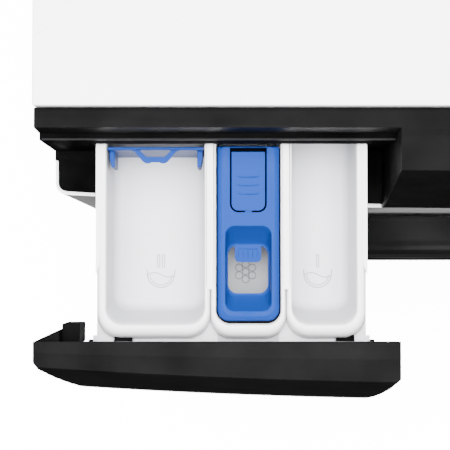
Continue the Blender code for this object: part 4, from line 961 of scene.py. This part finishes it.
# ---- everything that keeps its frame shape -----------------------------------------------------
def skins():
    cabinet = (
        ("left_side_panel", ENAMEL, 0.0004),
        ("right_side_panel", ENAMEL, 0.0004),
        ("front_panel", ENAMEL, 0.0008),
        ("rear_panel", ZINC, 0.0003),
        ("base", GREY, 0.0008),
        ("display_window", SMOKED, 0.0003),
        ("dispenser_housing", WHITE, 0.0),
        ("inlet_valve", DARK, 0.0),
        ("hinge_bracket", ZINC, 0.0008),
        ("door_lock", DARK, 0.0),
        ("drain_pump", GREY, 0.0010),
    )
    for node, finish, width in cabinet:
        refined(node, finish, "cabinet", width)
    fascia = refined("fascia_panel", BLACK, "cabinet", 0.0004)
    # Painted shade: the recess floor and the ledge under the lip take the darker black, where shade
    # falls under the lip.
    fascia.data.materials.append(DARK)
    ledge = FASCIA_TOP - LIP_DEEP
    for face in fascia.data.polygons:
        x, y, z = face.center
        inside = x < RECESS_RIGHT - 0.0005 and z < ledge + 0.0004
        face.material_index = int(inside and y < at(RECESS_WALL + 0.0080))
    refined("service_flap", PANEL, "flap", 0.0006)
    refined("pump_filter_cap", DARK, "filter_cap", 0.0008)
    refined("programme_knob", SILVER, "knob", 0.0)
    refined("option_button_1", BLACK, "button_1", 0.0)
    refined("option_button_2", BLACK, "button_2", 0.0)
    refined("start_button", SILVER, "start", 0.0)
    for depth in ("front", "rear"):
        for side in ("left", "right"):
            refined(f"foot_{depth}_{side}", DARK, "cabinet", 0.0012)
    refined("door_outer_ring", DOOR_BLACK, "door", 0.0004)
    refined("door_inner_ring", DARK, "door", 0.0005)
    refined("door_glass", CLEAR, "door", 0.0)
    refined("door_cover", SMOKED, "door", 0.0)
    refined("hinge_leaf", ZINC, "door", 0.0008)
    refined("door_hook", ZINC, "hook", 0.0008)


FINISHES = {
    "hinge_pin": ZINC,
    "door_seal": RUBBER,
    "dispenser_hose": RUBBER,
    "tub_front": GREY,
    "tub_rear": GREY,
    "counterweight": CONCRETE,
    "drum_shell": STEEL,
    "drum_back": STEEL,
    "drum_paddle_1": WHITE,
    "drum_paddle_2": WHITE,
    "drum_paddle_3": WHITE,
    "drum_spider": ALUMINIUM,
    "drum_pulley": ALUMINIUM,
    "front_bearing": ZINC,
    "rear_bearing": ZINC,
    "motor": DARK,
    "motor_pulley": ZINC,
    "drive_belt": BELT,
    "heater": ZINC,
    "suspension_spring_left": ZINC,
    "suspension_spring_right": ZINC,
    "damper_left": ZINC,
    "damper_right": ZINC,
}


def worktop():
    """A laminated board with a fine arris all round."""
    low, high = WORKTOP_LOW, WORKTOP_HIGH
    rings = []
    for z, inset in (
        (low[2], 0.0004),
        (low[2] + 0.0004, 0.0),
        (high[2] - 0.0010, 0.0),
        (high[2] - 0.0005, 0.0001),
        (high[2] - 0.0001, 0.0005),
        (high[2], 0.0010),
    ):
        radius = 0.0016 - inset
        corners = (low[0] + inset, low[1] + inset), (high[0] - inset, high[1] - inset)
        rings.append([(x, y, z) for x, y in rounded(*corners, (radius,) * 4)])
    bm = bmesh.new()
    loft(bm, rings)
    made = finish_mesh("worktop_board", bm, WORKTOP, sharp=50.0)
    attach(made, "cabinet")
    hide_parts("worktop")


worktop()
skins()
for node, finish in FINISHES.items():
    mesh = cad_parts[node].data
    mesh.materials.clear()
    mesh.materials.append(finish)


# ---- camera, floor and light -------------------------------------------------------------------
def studio():
    camera = bpy.data.cameras.new("camera")
    camera.sensor_width = 36.0
    camera.lens = 101.3
    eye = bpy.data.objects.new("camera", camera)
    eye.location = (EYE_X, at(-EYE_FORWARD), FASCIA_TOP + EYE_HEIGHT)
    eye.rotation_euler = (TILT, 0.0, 0.0)
    bpy.context.scene.collection.objects.link(eye)
    bpy.context.scene.camera = eye

    bm = bmesh.new()
    bmesh.ops.create_grid(bm, x_segments=4, y_segments=4, size=6.0)
    paper = Recipe("floor_paper", (0.95, 0.95, 0.95), 0.9)
    paper.shader.inputs["Emission Color"].default_value = (1.0, 1.0, 1.0, 1.0)
    paper.shader.inputs["Emission Strength"].default_value = 12.0
    floor = finish_mesh("floor", bm, paper.material)

    floor.visible_diffuse = False
    floor.visible_glossy = False

    world = bpy.data.worlds.new("studio")
    world.use_nodes = True
    nodes, links = world.node_tree.nodes, world.node_tree.links
    heading = nodes.new("ShaderNodeTexCoord")
    parts = nodes.new("ShaderNodeSeparateXYZ")
    fade = nodes.new("ShaderNodeMapRange")
    for socket, value in (("From Min", -0.12), ("From Max", 0.18), ("To Min", 0.06), ("To Max", 0.55)):
        fade.inputs[socket].default_value = value
    links.new(heading.outputs["Generated"], parts.inputs[0])
    links.new(parts.outputs["Z"], fade.inputs["Value"])
    links.new(fade.outputs[0], nodes["Background"].inputs["Strength"])
    nodes["Background"].inputs["Color"].default_value = (1.0, 1.0, 1.0, 1.0)
    bpy.context.scene.world = world

    for name, where, size, power, in_gloss in (
        ("overhead", (-0.15, 0.05, 3.1), 2.0, 470.0, False),
        ("front", (0.5, -2.6, 1.6), 1.6, 24.0, True),
        ("left", (-2.4, -0.6, 1.9), 1.2, 14.0, True),
        ("rear", (1.4, 2.6, 2.2), 1.6, 30.0, True),
    ):
        light = bpy.data.lights.new(name, "AREA")
        light.size = size
        light.energy = power
        lamp = bpy.data.objects.new(name, light)
        lamp.location = where
        lamp.visible_glossy = in_gloss
        aim = Vector((0.0, 0.0, 0.55)) - Vector(where)
        lamp.rotation_euler = aim.to_track_quat("-Z", "Y").to_euler()
        bpy.context.scene.collection.objects.link(lamp)


studio()
